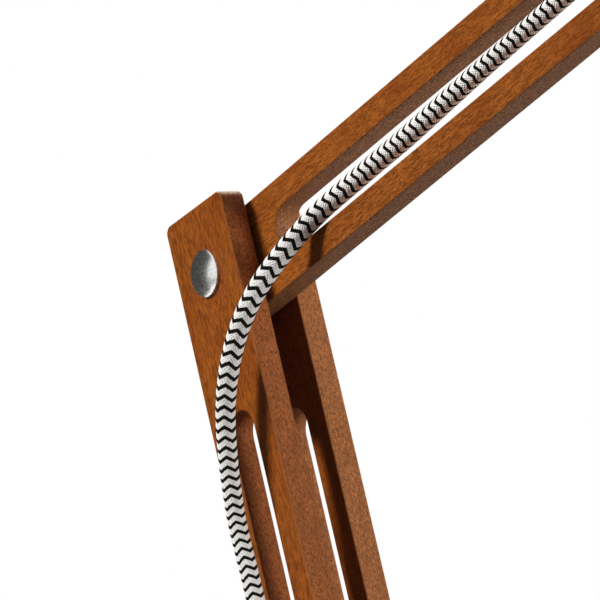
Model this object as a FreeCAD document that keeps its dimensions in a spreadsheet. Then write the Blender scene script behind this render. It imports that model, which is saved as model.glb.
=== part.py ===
"""Wooden swing-arm table lamp with slotted plank arms and a textile cord.

The lamp stands on z = 0 with its base centred on the origin.  X points the way
the upper arm reaches, Y runs through the hinge bolts and Z is up.  Two slotted
cheeks make the lower arm and clamp a single slotted plank, the upper arm,
between them at the elbow.
"""
import FreeCAD
import Part
import math
import os
import re
import Sketcher

from FreeCAD import Placement, Rotation, Vector

doc = FreeCAD.newDocument("swing_arm_lamp")

# Driving dimensions in millimetres and degrees: alias, value, meaning.
DIMENSIONS = [
    ("lower_length", 380.0, "lower arm, base pivot to elbow"),
    ("lower_lean", 23.0, "lower arm leans back from upright, degrees"),
    ("cheek_width", 36.0, "width of a lower cheek"),
    ("cheek_thickness", 9.0, "thickness of a lower cheek"),
    ("cheek_slot", 14.2, "width of a cheek's slot"),
    ("cheek_slot_start", 49.0, "bolt to the end of a cheek's slot"),
    ("cheek_end", 23.0, "bolt to the square end of a cheek"),
    ("upper_length", 400.0, "upper arm, elbow to head pivot"),
    ("upper_rise", 26.0, "upper arm rises from level, degrees"),
    ("arm_width", 35.0, "width of the upper arm"),
    ("arm_thickness", 8.8, "thickness of the upper arm and of the post"),
    ("arm_slot", 16.0, "width of the upper arm's slot"),
    ("arm_slot_start", 29.0, "bolt to the end of the upper arm's slot"),
    ("arm_end", 17.5, "bolt to the end of the upper arm"),
    ("corner_round", 3.0, "rounding of a plank's corners"),
    ("eased_edge", 0.6, "easing of a plank's long edges"),
    ("bolt_radius", 3.0, "hinge bolt shank"),
    ("bolt_head_radius", 8.0, "domed bolt head"),
    ("bolt_head_height", 3.2, "height of the dome"),
    ("neck_side", 6.2, "square neck under the dome"),
    ("neck_depth", 4.0, "length of the square neck"),
    ("pivot_clearance", 0.1, "radial play of a bolt in its hole"),
    ("thread_clearance", 0.05, "radial play of a thread"),
    ("washer_radius", 9.0, "washer outer radius"),
    ("washer_thickness", 1.6, "washer thickness"),
    ("nut_height", 9.0, "wing nut boss height"),
    ("nut_radius", 6.4, "wing nut boss radius at its foot"),
    ("wing_reach", 17.0, "axis to the tip of a wing"),
    ("wing_height", 15.0, "foot of the boss to the top of a wing"),
    ("wing_thickness", 3.0, "thickness of a wing"),
    ("thread_stand_out", 3.0, "bolt end beyond the wing nut"),
    ("elbow_nut_turn", 38.0, "elbow wing nut's wings above level, degrees"),
    ("base_radius", 100.0, "base disc"),
    ("base_thickness", 22.0, "base disc height"),
    ("base_round", 4.0, "rounded upper rim of the base"),
    ("pad_inset", 5.0, "base's rim to the felt pad's edge"),
    ("pad_thickness", 2.0, "felt pad thickness"),
    ("base_rim", 17.0, "base's rim to the steel weight's edge"),
    ("weight_thickness", 10.0, "steel weight thickness"),
    ("recess_clearance", 0.3, "play round and over the weight"),
    ("weight_screw_inset", 21.0, "weight's edge to its screws"),
    ("screw_radius", 2.0, "wood screw shank"),
    ("screw_head_radius", 3.8, "wood screw head"),
    ("screw_head_height", 2.4, "wood screw head height"),
    ("screw_clearance", 0.05, "play of a screw in its hole"),
    ("weight_screw_bite", 6.0, "weight screw's length in the wood"),
    ("shoe_length", 70.0, "block round the post's foot"),
    ("shoe_width", 34.0, "width of that block"),
    ("shoe_height", 15.0, "height of that block"),
    ("shoe_round", 2.5, "rounded edges of that block"),
    ("shoe_screw_inset", 8.0, "block's end to its screw"),
    ("shoe_screw_bite", 10.0, "block screw's length in the block"),
    ("post_depth", 8.0, "post's tenon in the base disc"),
    ("post_width", 36.0, "width of the post"),
    ("joint_clearance", 0.1, "play of the tenon in its mortise"),
    ("pivot_rise", 48.0, "base pivot above the base disc"),
    ("cord_radius", 3.1, "textile cord"),
    ("cord_clearance", 0.1, "play round the cord in clamp and gland"),
    ("clamp_length", 12.0, "cord clamp along the cord"),
    ("clamp_width", 30.0, "cord clamp across the cord"),
    ("clamp_height", 9.0, "cord clamp height"),
    ("clamp_inset", 11.0, "base's rim to the clamp's middle"),
    ("clamp_screw_spacing", 20.0, "between the clamp's screws"),
    ("clamp_screw_radius", 1.5, "clamp screw shank"),
    ("clamp_screw_head", 2.8, "clamp screw head radius"),
    ("clamp_screw_bite", 8.0, "clamp screw's length in the wood"),
    ("head_lean", 15.0, "head's axis leans forward from straight down"),
    ("clevis_drop", 46.0, "head pivot to the top of the socket cup"),
    ("clevis_strip", 2.0, "thickness of the clevis strip"),
    ("clevis_width", 20.0, "width of the clevis strip"),
    ("cup_play", 2.1, "gap between lamp holder and cup"),
    ("cup_length", 58.0, "socket cup length"),
    ("cup_wall", 1.4, "socket cup wall"),
    ("stud_radius", 4.0, "bolt that holds the cup to the clevis"),
    ("stud_nut_corner", 0.5, "its head's corners beyond the clevis's inner faces"),
    ("stud_nut_height", 4.0, "its head and nut height"),
    ("holder_radius", 19.5, "lamp holder"),
    ("holder_flange", 2.0, "lamp holder's collar under the cup"),
    ("holder_top", 20.0, "holder's length up inside the cup"),
    ("holder_skirt", 12.0, "holder's threaded skirt below its collar"),
    ("bulb_play", 0.4, "play of the bulb's screw cap in its bore"),
    ("holder_bore_depth", 26.7, "depth of that bore"),
    ("ring_wall", 6.0, "wall of the ring that clamps the shade"),
    ("ring_height", 6.0, "height of that ring"),
    ("shade_wall", 1.2, "shade wall"),
    ("shade_seat", 1.5, "shade's flat top beyond that ring"),
    ("shade_shoulder", 40.0, "shade radius at its shoulder"),
    ("shade_shoulder_drop", 8.0, "shade's top to its shoulder"),
    ("shade_mouth", 85.0, "shade radius at its mouth"),
    ("shade_height", 106.0, "shade height"),
    ("bead_radius", 1.6, "rolled bead round the mouth"),
    ("bulb_cap_radius", 13.2, "bulb's screw cap"),
    ("bulb_cap_length", 25.0, "bulb's screw cap length"),
    ("bulb_collar_radius", 15.5, "bulb's plastic collar at its top"),
    ("bulb_collar_foot", 24.0, "bulb's plastic collar at the globe"),
    ("bulb_collar_length", 28.0, "bulb's plastic collar length"),
    ("bulb_globe", 30.0, "bulb's globe"),
    ("bulb_wall", 1.5, "wall of that globe"),
    ("gland_rise", 8.0, "holder's top to the cord gland's axis"),
    ("gland_radius", 7.0, "gland's collar"),
    ("gland_collar", 5.0, "gland's collar length"),
    ("gland_nose_radius", 4.2, "gland's free end"),
    ("gland_length", 27.0, "gland's length outside the cup"),
    ("gland_thread", 5.0, "gland's threaded end"),
    ("switch_length", 64.0, "inline switch"),
    ("switch_width", 27.0, "inline switch width"),
    ("switch_height", 21.0, "inline switch height"),
    ("switch_split", 10.0, "height of the switch's lower half"),
    ("switch_round", 6.0, "rounded corners of the switch"),
    ("switch_wall", 2.0, "switch's shell wall"),
    ("rocker_length", 20.6, "rocker"),
    ("rocker_width", 12.0, "rocker width"),
    ("rocker_gap", 0.5, "gap beside the rocker"),
    ("rocker_play", 1.3, "gap at each end of the level rocker"),
    ("rocker_stand_out", 1.6, "level rocker's ends above the switch"),
    ("rocker_hollow", 1.0, "rocker's middle below its ends"),
    ("rocker_pin", 1.2, "rocker's pivot pin radius"),
    ("rocker_pin_height", 14.0, "pin above the switch's underside"),
    ("rocker_pin_bite", 1.0, "pin's length in each side wall"),
    ("rocker_tilt", 6.0, "rocker's rest tilt, degrees"),
    ("guard_length", 16.0, "tapered cord guard at each end of the switch"),
    ("guard_radius", 6.0, "cord guard at the housing"),
    ("guard_tip", 4.0, "cord guard at its free end"),
    ("cord_height", 7.0, "cord's axis where it enters switch and plug"),
    ("plug_length", 34.0, "plug body without its nose"),
    ("plug_width", 35.0, "plug width"),
    ("plug_height", 14.0, "plug height"),
    ("plug_shoulder", 14.0, "plug's full width, from its face back"),
    ("plug_back", 17.0, "plug's width where the cord guard starts"),
    ("plug_round", 2.5, "rounded edges of the plug"),
    ("plug_nose", 24.0, "plug's tapered cord guard"),
    ("pin_radius", 2.0, "plug pin"),
    ("pin_length", 19.0, "plug pin length"),
    ("pin_spacing", 18.6, "between the plug's pins"),
    ("pin_root", 6.0, "plug pin inside the body"),
    ("coil_radius", 36.0, "spare cord's coil, middle of its turns"),
    ("coil_columns", 3.0, "turns side by side in the coil"),
    ("coil_layers", 2.0, "layers of turns in the coil"),
]

sheet = doc.addObject("Spreadsheet::Sheet", "Dimensions")
for row, (alias, value, meaning) in enumerate(DIMENSIONS, 1):
    sheet.set(f"A{row}", meaning)
    sheet.set(f"B{row}", str(value))
    sheet.setAlias(f"B{row}", alias)
doc.recompute()
ALIASES = {alias for alias, _, _ in DIMENSIONS}


def size(alias):
    """Value of one driving dimension."""
    return float(sheet.get(alias))


def formula(text):
    """Turn 'cheek_width / 2' into an expression on the sheet."""
    return re.sub(r"[a-z]\w*", lambda m: "Dimensions." + m[0] if m[0] in ALIASES else m[0], str(text))


def worth(text):
    """Number that a formula gives now."""
    found = sheet.evalExpression(formula(text))
    return float(getattr(found, "Value", found))


# ---------------------------------------------------------------- frames
BOLT_SIDE = Rotation(Vector(1, 0, 0), 90)


def turned(angle):
    """Rotation in the XZ plane that lifts +X by the given angle."""
    return Rotation(Vector(0, 1, 0), -angle)


BASE_PIVOT = Vector(0, 0, worth("pad_thickness + base_thickness + pivot_rise"))
LOWER_ANGLE = 90 + size("lower_lean")
ELBOW = BASE_PIVOT + turned(LOWER_ANGLE).multVec(Vector(size("lower_length"), 0, 0))
HEAD_PIVOT = ELBOW + turned(size("upper_rise")).multVec(Vector(size("upper_length"), 0, 0))
HEAD_FRAME = Placement(HEAD_PIVOT, turned(size("head_lean")))


def link_frame(pivot, angle, back_face):
    """Frame of a plank: x along it, y across it, z from back_face towards -Y."""
    return Placement(Vector(pivot.x, back_face, pivot.z), turned(angle) * BOLT_SIDE)


# ---------------------------------------------------------------- sketch and feature helpers
def new_body(name):
    body = doc.addObject("PartDesign::Body", name)
    body.Label = name
    return body


def plane_of(body, role):
    return next(feature for feature in body.Origin.OriginFeatures if feature.Role == role)


def new_sketch(body, name, role="XY_Plane", lift=None):
    sketch = body.newObject("Sketcher::SketchObject", f"{body.Name}_{name}")
    sketch.AttachmentSupport = (plane_of(body, role), [""])
    sketch.MapMode = "FlatFace"
    if lift is not None:
        sketch.setExpression("AttachmentOffset.Base.z", formula(lift))
    return sketch


def bind(sketch, constraint, text):
    """Add a dimensional constraint and tie it to a formula on the sheet."""
    index = sketch.addConstraint(Sketcher.Constraint(*constraint, worth(text)))
    sketch.setExpression(f"Constraints[{index}]", formula(text))


def place_point(sketch, geometry, position, across, up):
    bind(sketch, ("DistanceX", -1, 1, geometry, position), across)
    bind(sketch, ("DistanceY", -1, 1, geometry, position), up)


def draw_outline(sketch, corners):
    """Closed polygon whose corners are pairs of formulas."""
    spots = [Vector(worth(across), worth(up), 0) for across, up in corners]
    first = sketch.GeometryCount
    for start, stop in zip(spots, spots[1:] + spots[:1]):
        sketch.addGeometry(Part.LineSegment(start, stop))
    for step, (across, up) in enumerate(corners):
        after = first + (step + 1) % len(corners)
        sketch.addConstraint(Sketcher.Constraint("Coincident", first + step, 2, after, 1))
        place_point(sketch, first + step, 1, across, up)


def draw_rectangle(sketch, left, right, bottom, top):
    draw_outline(sketch, [(left, bottom), (right, bottom), (right, top), (left, top)])


def draw_circle(sketch, across, up, radius):
    centre = Vector(worth(across), worth(up), 0)
    circle = sketch.addGeometry(Part.Circle(centre, Vector(0, 0, 1), worth(radius)))
    place_point(sketch, circle, 3, across, up)
    bind(sketch, ("Radius", circle), radius)


def draw_slot(sketch, start, stop, radius):
    """Round-ended slot on the x axis between two arc centres."""
    left, right, reach = worth(start), worth(stop), worth(radius)
    quarter = math.pi / 2
    first = sketch.addGeometry(Part.ArcOfCircle(
        Part.Circle(Vector(left, 0, 0), Vector(0, 0, 1), reach), quarter, 3 * quarter))
    low = sketch.addGeometry(Part.LineSegment(Vector(left, -reach, 0), Vector(right, -reach, 0)))
    last = sketch.addGeometry(Part.ArcOfCircle(
        Part.Circle(Vector(right, 0, 0), Vector(0, 0, 1), reach), -quarter, quarter))
    high = sketch.addGeometry(Part.LineSegment(Vector(right, reach, 0), Vector(left, reach, 0)))
    for one, other in ((first, low), (low, last), (last, high), (high, first)):
        sketch.addConstraint(Sketcher.Constraint("Tangent", one, 2, other, 1))
    place_point(sketch, first, 3, start, "0")
    place_point(sketch, last, 3, stop, "0")
    bind(sketch, ("Radius", first), radius)


def pad(body, sketch, length, middle=False):
    feature = body.newObject("PartDesign::Pad", f"{sketch.Name}_pad")
    feature.Profile = sketch
    feature.setExpression("Length", formula(length))
    feature.Midplane = middle


def pocket(body, sketch, length=None, reversed_cut=False):
    """Cut the sketch's outline: right through both ways, or one way by a length."""
    doc.recompute()
    before = body.Shape.Volume
    feature = body.newObject("PartDesign::Pocket", f"{sketch.Name}_cut")
    feature.Profile = sketch
    if length is None:
        feature.Type = "ThroughAll"
        feature.Midplane = True
    else:
        feature.setExpression("Length", formula(length))
        feature.Reversed = reversed_cut
    doc.recompute()
    if body.Shape.Volume > before - 1e-3:
        raise RuntimeError(f"{sketch.Name} cuts nothing")
    return feature


def revolve(body, sketch):
    feature = body.newObject("PartDesign::Revolution", f"{sketch.Name}_turn")
    feature.Profile = sketch
    feature.ReferenceAxis = (sketch, ["V_Axis"])
    feature.Angle = 360


def turned_part(name, corners, place=None):
    """Body turned about its Z axis from a profile of (radius, height) formulas."""
    body = new_body(name)
    sketch = new_sketch(body, "profile", "XZ_Plane")
    draw_outline(sketch, corners)
    revolve(body, sketch)
    if place is not None:
        body.Placement = place
    return body


def round_edges(body, radius, chosen):
    """Fillet the edges of the body's tip that 'chosen' accepts."""
    doc.recompute()
    tip = body.Tip
    names = [f"Edge{i}" for i, edge in enumerate(tip.Shape.Edges, 1) if chosen(edge)]
    feature = body.newObject("PartDesign::Fillet", f"{body.Name}_{radius.split()[0]}")
    feature.Base = (tip, names)
    feature.setExpression("Radius", formula(radius))


def runs_along(edge, axis):
    """True for a straight edge parallel to a unit axis."""
    if not isinstance(edge.Curve, Part.Line):
        return False
    return abs(abs(edge.Curve.Direction.dot(axis)) - 1) < 1e-6


def primitive(kind, name, **formulas):
    """Part primitive whose properties are bound to formulas."""
    thing = doc.addObject(kind, name)
    for prop, text in formulas.items():
        thing.setExpression(prop.replace("__", "."), formula(text))
    return thing


def combined(kind, name, pieces, place=None):
    """Boolean of primitives that becomes one named sub-part."""
    thing = doc.addObject(kind, name)
    thing.Shapes = pieces
    thing.Label = name
    if place is not None:
        thing.Placement = place
    return thing


def feature_of(name, shape, place=None):
    """Plain sub-part with a shape of its own; its sizes come from the sheet."""
    thing = doc.addObject("Part::Feature", name)
    thing.Label = name
    thing.Shape = shape
    if place is not None:
        thing.Placement = place
    return thing


PARTS = []


def keep(*things):
    """Register finished sub-parts for export."""
    PARTS.extend(things)


# ---------------------------------------------------------------- base
TOP = "(pad_thickness + base_thickness)"
RECESS_TOP = "(pad_thickness + weight_thickness + recess_clearance)"
WEIGHT = "(base_radius - base_rim)"
WEIGHT_SCREWS = f"({WEIGHT} - weight_screw_inset)"
SHOE_SCREW = "(shoe_length / 2 - shoe_screw_inset)"
CLAMP = "(base_radius - clamp_inset)"


def make_base_pad():
    keep(primitive("Part::Cylinder", "base_felt_pad", Radius="base_radius - pad_inset",
                   Height="pad_thickness"))


def make_base_disc():
    """Turned disc: recess for the weight below, mortise for the post above."""
    body = turned_part("base_disc", [
        ("0", RECESS_TOP), (f"{WEIGHT} + recess_clearance", RECESS_TOP),
        (f"{WEIGHT} + recess_clearance", "pad_thickness"), ("base_radius", "pad_thickness"),
        ("base_radius", TOP), ("0", TOP)])
    rim = size("base_radius")
    top = worth(TOP)
    round_edges(body, "base_round",
                lambda e: abs(e.BoundBox.ZMin - top) < 1e-6 and e.BoundBox.XMax > rim - 1e-6)
    mortise = new_sketch(body, "mortise", lift=TOP)
    draw_rectangle(mortise, "-post_width / 2 - joint_clearance", "post_width / 2 + joint_clearance",
                   "-arm_thickness / 2 - joint_clearance", "arm_thickness / 2 + joint_clearance")
    pocket(body, mortise, "post_depth + joint_clearance")
    bores = new_sketch(body, "shoe_screw_bores", lift=RECESS_TOP)
    for side in ("-", ""):
        draw_circle(bores, f"{side}{SHOE_SCREW}", "0", "screw_radius + screw_clearance")
    pocket(body, bores, "base_thickness", reversed_cut=True)
    sinks = new_sketch(body, "shoe_screw_sinks", lift=RECESS_TOP)
    for side in ("-", ""):
        draw_circle(sinks, f"{side}{SHOE_SCREW}", "0", "screw_head_radius + screw_clearance")
    pocket(body, sinks, "screw_head_height + screw_clearance", reversed_cut=True)
    clamp_bores = new_sketch(body, "clamp_screw_bores", lift=TOP)
    for side in ("-", ""):
        draw_circle(clamp_bores, f"-{CLAMP}", f"{side}clamp_screw_spacing / 2",
                    "clamp_screw_radius + screw_clearance")
    pocket(body, clamp_bores, "clamp_screw_bite + screw_clearance")
    weight_bores = new_sketch(body, "weight_screw_bore", lift=RECESS_TOP)
    draw_circle(weight_bores, "0", WEIGHT_SCREWS, "screw_radius + screw_clearance")
    cut = pocket(body, weight_bores, "weight_screw_bite + screw_clearance", reversed_cut=True)
    three_round(body, cut)
    keep(body)


def three_round(body, feature):
    """Repeat a feature three times round the Z axis."""
    pattern = body.newObject("PartDesign::PolarPattern", f"{feature.Name}_round")
    pattern.Originals = [feature]
    pattern.Axis = (plane_of(body, "Z_Axis"), [""])
    pattern.Angle = 360
    pattern.Occurrences = 3
    body.Tip = pattern
    doc.recompute()


def make_base_weight():
    body = new_body("base_weight")
    disc = new_sketch(body, "disc", lift="pad_thickness")
    draw_circle(disc, "0", "0", WEIGHT)
    pad(body, disc, "weight_thickness")
    bore = new_sketch(body, "bore", lift="pad_thickness")
    draw_circle(bore, "0", WEIGHT_SCREWS, "screw_radius + screw_clearance")
    three_round(body, pocket(body, bore, "weight_thickness", reversed_cut=True))
    sink = new_sketch(body, "sink", lift="pad_thickness")
    draw_circle(sink, "0", WEIGHT_SCREWS, "screw_head_radius + screw_clearance")
    three_round(body, pocket(body, sink, "screw_head_height", reversed_cut=True))
    keep(body)


def screw(foot, length, head_radius, head_height, shank_radius, upward=True):
    """Cylinder-headed screw whose head's outer face is at 'foot'."""
    way = Vector(0, 0, 1 if upward else -1)
    head = Part.makeCylinder(head_radius, head_height, foot, way)
    shank = Part.makeCylinder(shank_radius, length, foot + way * head_height, way)
    return head.fuse(shank).removeSplitter()


def make_base_screws():
    """Screws of the weight, of the shoe and of the cord clamp."""
    head = size("screw_head_radius"), size("screw_head_height"), size("screw_radius")
    under = size("pad_thickness")
    through = size("weight_thickness") + size("recess_clearance") - size("screw_head_height")
    weight_screws = []
    for turn in range(3):
        spot = Rotation(Vector(0, 0, 1), 120 * turn).multVec(Vector(0, worth(WEIGHT_SCREWS), under))
        weight_screws.append(screw(spot, through + size("weight_screw_bite"), *head))
    keep(feature_of("weight_screws", Part.makeCompound(weight_screws)))
    roof = worth(RECESS_TOP)
    reach = worth(TOP) - roof - size("screw_head_height") + size("shoe_screw_bite")
    shoe_screws = []
    for side in (-1, 1):
        shoe_screws.append(screw(Vector(side * worth(SHOE_SCREW), 0, roof), reach, *head))
    keep(feature_of("shoe_screws", Part.makeCompound(shoe_screws)))
    clamp_top = worth(TOP) + size("clamp_height") + size("screw_head_height")
    clamp_screws = []
    for side in (-1, 1):
        foot = Vector(-worth(CLAMP), side * size("clamp_screw_spacing") / 2, clamp_top)
        clamp_screws.append(screw(foot, size("clamp_height") + size("clamp_screw_bite"),
                                  size("clamp_screw_head"), size("screw_head_height"),
                                  size("clamp_screw_radius"), upward=False))
    keep(feature_of("clamp_screws", Part.makeCompound(clamp_screws)))


def make_post_shoe():
    """Block that braces the foot of the post."""
    body = new_body("post_shoe")
    outline = new_sketch(body, "outline", lift=TOP)
    draw_rectangle(outline, "-shoe_length / 2", "shoe_length / 2", "-shoe_width / 2", "shoe_width / 2")
    pad(body, outline, "shoe_height")
    foot = worth(TOP)
    round_edges(body, "shoe_round", lambda e: e.BoundBox.ZMax > foot + 1)
    mortise = new_sketch(body, "mortise", lift=TOP)
    draw_rectangle(mortise, "-post_width / 2 - joint_clearance", "post_width / 2 + joint_clearance",
                   "-arm_thickness / 2 - joint_clearance", "arm_thickness / 2 + joint_clearance")
    pocket(body, mortise)
    bores = new_sketch(body, "bores", lift=TOP)
    for side in ("-", ""):
        draw_circle(bores, f"{side}{SHOE_SCREW}", "0", "screw_radius + screw_clearance")
    pocket(body, bores, "shoe_screw_bite + screw_clearance", reversed_cut=True)
    keep(body)


def make_base_post():
    """Upright tongue between the cheeks, round at its top."""
    body = new_body("base_post")
    stem = new_sketch(body, "stem")
    draw_rectangle(stem, "-(pivot_rise + post_depth)", "0", "-post_width / 2", "post_width / 2")
    pad(body, stem, "arm_thickness")
    crown = new_sketch(body, "crown")
    draw_circle(crown, "0", "0", "post_width / 2")
    pad(body, crown, "arm_thickness")
    bore = new_sketch(body, "bore")
    draw_circle(bore, "0", "0", "bolt_radius + pivot_clearance")
    pocket(body, bore)
    body.Placement = link_frame(BASE_PIVOT, 90, size("arm_thickness") / 2)
    keep(body)


def make_cord_clamp():
    """Saddle that holds the cord on the base."""
    body = new_body("cord_clamp")
    block = new_sketch(body, "block", "YZ_Plane")
    draw_rectangle(block, "-clamp_width / 2", "clamp_width / 2", TOP, f"{TOP} + clamp_height")
    pad(body, block, "clamp_length", middle=True)
    reach = size("clamp_width") / 2 - 0.01
    foot = worth(TOP)
    round_edges(body, "shoe_round",
                lambda e: runs_along(e, Vector(1, 0, 0)) and e.BoundBox.ZMin > foot + 1
                and abs(e.BoundBox.YMax) > reach)
    channel = new_sketch(body, "channel", "YZ_Plane")
    draw_rectangle(channel, "-cord_radius - cord_clearance", "cord_radius + cord_clearance",
                   TOP, f"{TOP} + cord_radius")
    pocket(body, channel)
    crown = new_sketch(body, "crown", "YZ_Plane")
    draw_circle(crown, "0", f"{TOP} + cord_radius", "cord_radius + cord_clearance")
    pocket(body, crown)
    bores = new_sketch(body, "bores", lift=TOP)
    for side in ("-", ""):
        draw_circle(bores, "0", f"{side}clamp_screw_spacing / 2", "clamp_screw_radius + screw_clearance")
    pocket(body, bores)
    body.Placement = Placement(Vector(-worth(CLAMP), 0, 0), Rotation())
    keep(body)


# ---------------------------------------------------------------- arms
def plank(name, length, width, thickness, slot, slot_start, end, square_necks=False):
    """Slotted plank between two bolt holes; its frame starts at the first bolt."""
    body = new_body(name)
    outline = new_sketch(body, "outline")
    draw_rectangle(outline, f"-{end}", f"{length} + {end}", f"-{width} / 2", f"{width} / 2")
    pad(body, outline, thickness)
    opening = new_sketch(body, "slot")
    draw_slot(opening, f"{slot_start} + {slot} / 2", f"{length} - {slot_start} - {slot} / 2", f"{slot} / 2")
    pocket(body, opening)
    upright = Vector(0, 0, 1)
    half = worth(f"{width} / 2") - 0.01
    round_edges(body, "corner_round", lambda e: runs_along(e, upright) and abs(e.BoundBox.YMax) > half)
    round_edges(body, "eased_edge", lambda e: e.BoundBox.ZLength < 1e-6)
    bores = new_sketch(body, "bores")
    for spot in ("0", length):
        draw_circle(bores, spot, "0", "bolt_radius + pivot_clearance")
    pocket(body, bores)
    if square_necks:
        necks = new_sketch(body, "necks", lift=thickness)
        side = "neck_side / 2 + thread_clearance"
        for spot in ("0", length):
            draw_rectangle(necks, f"{spot} - {side}", f"{spot} + {side}", f"-({side})", side)
        pocket(body, necks, "neck_depth + thread_clearance")
    return body


INNER_FACE = worth("arm_thickness / 2 + washer_thickness")
OUTER_FACE = INNER_FACE + size("cheek_thickness")


def make_arms():
    cheek = "lower_length", "cheek_width", "cheek_thickness", "cheek_slot", "cheek_slot_start", "cheek_end"
    near = plank("lower_cheek_near", *cheek, square_necks=True)
    near.Placement = link_frame(BASE_PIVOT, LOWER_ANGLE, -INNER_FACE)
    far = plank("lower_cheek_far", *cheek)
    far.Placement = link_frame(BASE_PIVOT, LOWER_ANGLE, OUTER_FACE)
    arm = plank("upper_arm_plank", "upper_length", "arm_width", "arm_thickness", "arm_slot", "arm_slot_start",
                "arm_end")
    arm.Placement = link_frame(ELBOW, size("upper_rise"), size("arm_thickness") / 2)
    keep(near, far, arm)


# ---------------------------------------------------------------- hinge hardware
def carriage_bolt(name, grip, neck_length, place):
    """Domed bolt: seat at local z = 0, dome above, square neck and shank below."""
    sphere = "(bolt_head_radius ^ 2 + bolt_head_height ^ 2) / (2 * bolt_head_height)"
    ball = primitive("Part::Sphere", f"{name}_ball", Radius=sphere,
                     Placement__Base__z=f"bolt_head_height - {sphere}")
    blank = primitive("Part::Cylinder", f"{name}_blank", Radius="bolt_head_radius", Height="bolt_head_height")
    dome = combined("Part::MultiCommon", f"{name}_dome", [ball, blank])
    neck = primitive("Part::Box", f"{name}_neck", Length="neck_side", Width="neck_side", Height=neck_length,
                     Placement__Base__x="-neck_side / 2", Placement__Base__y="-neck_side / 2",
                     Placement__Base__z=f"-{neck_length}")
    reach = f"({grip} + washer_thickness + nut_height + thread_stand_out)"
    shank = primitive("Part::Cylinder", f"{name}_shank", Radius="bolt_radius", Height=reach,
                      Placement__Base__z=f"-{reach}")
    keep(combined("Part::MultiFuse", name, [dome, neck, shank], place))


def washers(name, pivot, back_faces):
    """Washers of one hinge as separate solids; each back face is a Y value."""
    rings = []
    for back in back_faces:
        foot = Vector(pivot.x, back, pivot.z)
        way = Vector(0, -1, 0)
        ring = Part.makeCylinder(size("washer_radius"), size("washer_thickness"), foot, way)
        bore = Part.makeCylinder(worth("bolt_radius + pivot_clearance"), size("washer_thickness"), foot, way)
        rings.append(ring.cut(bore))
    keep(feature_of(name, Part.makeCompound(rings)))


def wing_nut(name, place):
    """Boss with two wings; its foot is at local z = 0."""
    bore = "bolt_radius + thread_clearance"
    body = turned_part(name, [(bore, "0"), ("nut_radius", "0"), ("nut_radius * 0.8", "nut_height"),
                              (bore, "nut_height")])
    wings = new_sketch(body, "wings", "XZ_Plane")
    for side in ("", "-"):
        draw_outline(wings, [
            (f"{side}(bolt_radius + 1)", "1"), (f"{side}(nut_radius + 1)", "1"),
            (f"{side}(wing_reach)", "wing_height * 0.7"), (f"{side}(wing_reach - 1)", "wing_height"),
            (f"{side}(wing_reach - 5)", "wing_height"), (f"{side}(bolt_radius + 1)", "nut_height * 0.8")])
    pad(body, wings, "wing_thickness", middle=True)
    body.Placement = place
    keep(body)


def make_hinge(name, pivot, angle, nut_turn, grip_face, grip, neck_length):
    """Bolt, outer washer and wing nut of one hinge; grip_face is the bolt head's seat."""
    seat = Placement(Vector(pivot.x, -grip_face, pivot.z), turned(angle) * BOLT_SIDE)
    carriage_bolt(f"{name}_bolt", grip, neck_length, seat)
    nut_face = grip_face + size("washer_thickness")
    washers(f"{name}_outer_washer", pivot, [nut_face])
    away = Rotation(Vector(1, 0, 0), -90)
    wing_nut(f"{name}_wing_nut", Placement(Vector(pivot.x, nut_face, pivot.z), turned(nut_turn) * away))


def make_hinges():
    spacer_backs = [size("arm_thickness") / 2 + size("washer_thickness"), -size("arm_thickness") / 2]
    cheeks = "arm_thickness + 2 * washer_thickness + 2 * cheek_thickness"
    make_hinge("base_pivot", BASE_PIVOT, LOWER_ANGLE, LOWER_ANGLE, OUTER_FACE, cheeks, "neck_depth")
    make_hinge("elbow", ELBOW, LOWER_ANGLE, size("elbow_nut_turn"), OUTER_FACE, cheeks, "neck_depth")
    strip_face = INNER_FACE + size("clevis_strip")
    make_hinge("head_pivot", HEAD_PIVOT, size("head_lean"), size("head_lean"), strip_face,
               "arm_thickness + 2 * washer_thickness + 2 * clevis_strip", "clevis_strip")
    washers("base_spacer_washers", BASE_PIVOT, spacer_backs)
    washers("elbow_spacer_washers", ELBOW, spacer_backs)
    washers("head_spacer_washers", HEAD_PIVOT, spacer_backs)


# ---------------------------------------------------------------- head
CUP_FOOT = "(-clevis_drop - cup_length)"
COLLAR_FOOT = f"({CUP_FOOT} - holder_flange)"
SHADE_FOOT = f"({COLLAR_FOOT} - shade_wall)"
CUP = "(holder_radius + cup_play + cup_wall)"
RING = "(holder_radius + ring_wall)"
NECK = f"({RING} + shade_seat)"
GLAND = f"({CUP_FOOT} + holder_top + gland_rise)"


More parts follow.
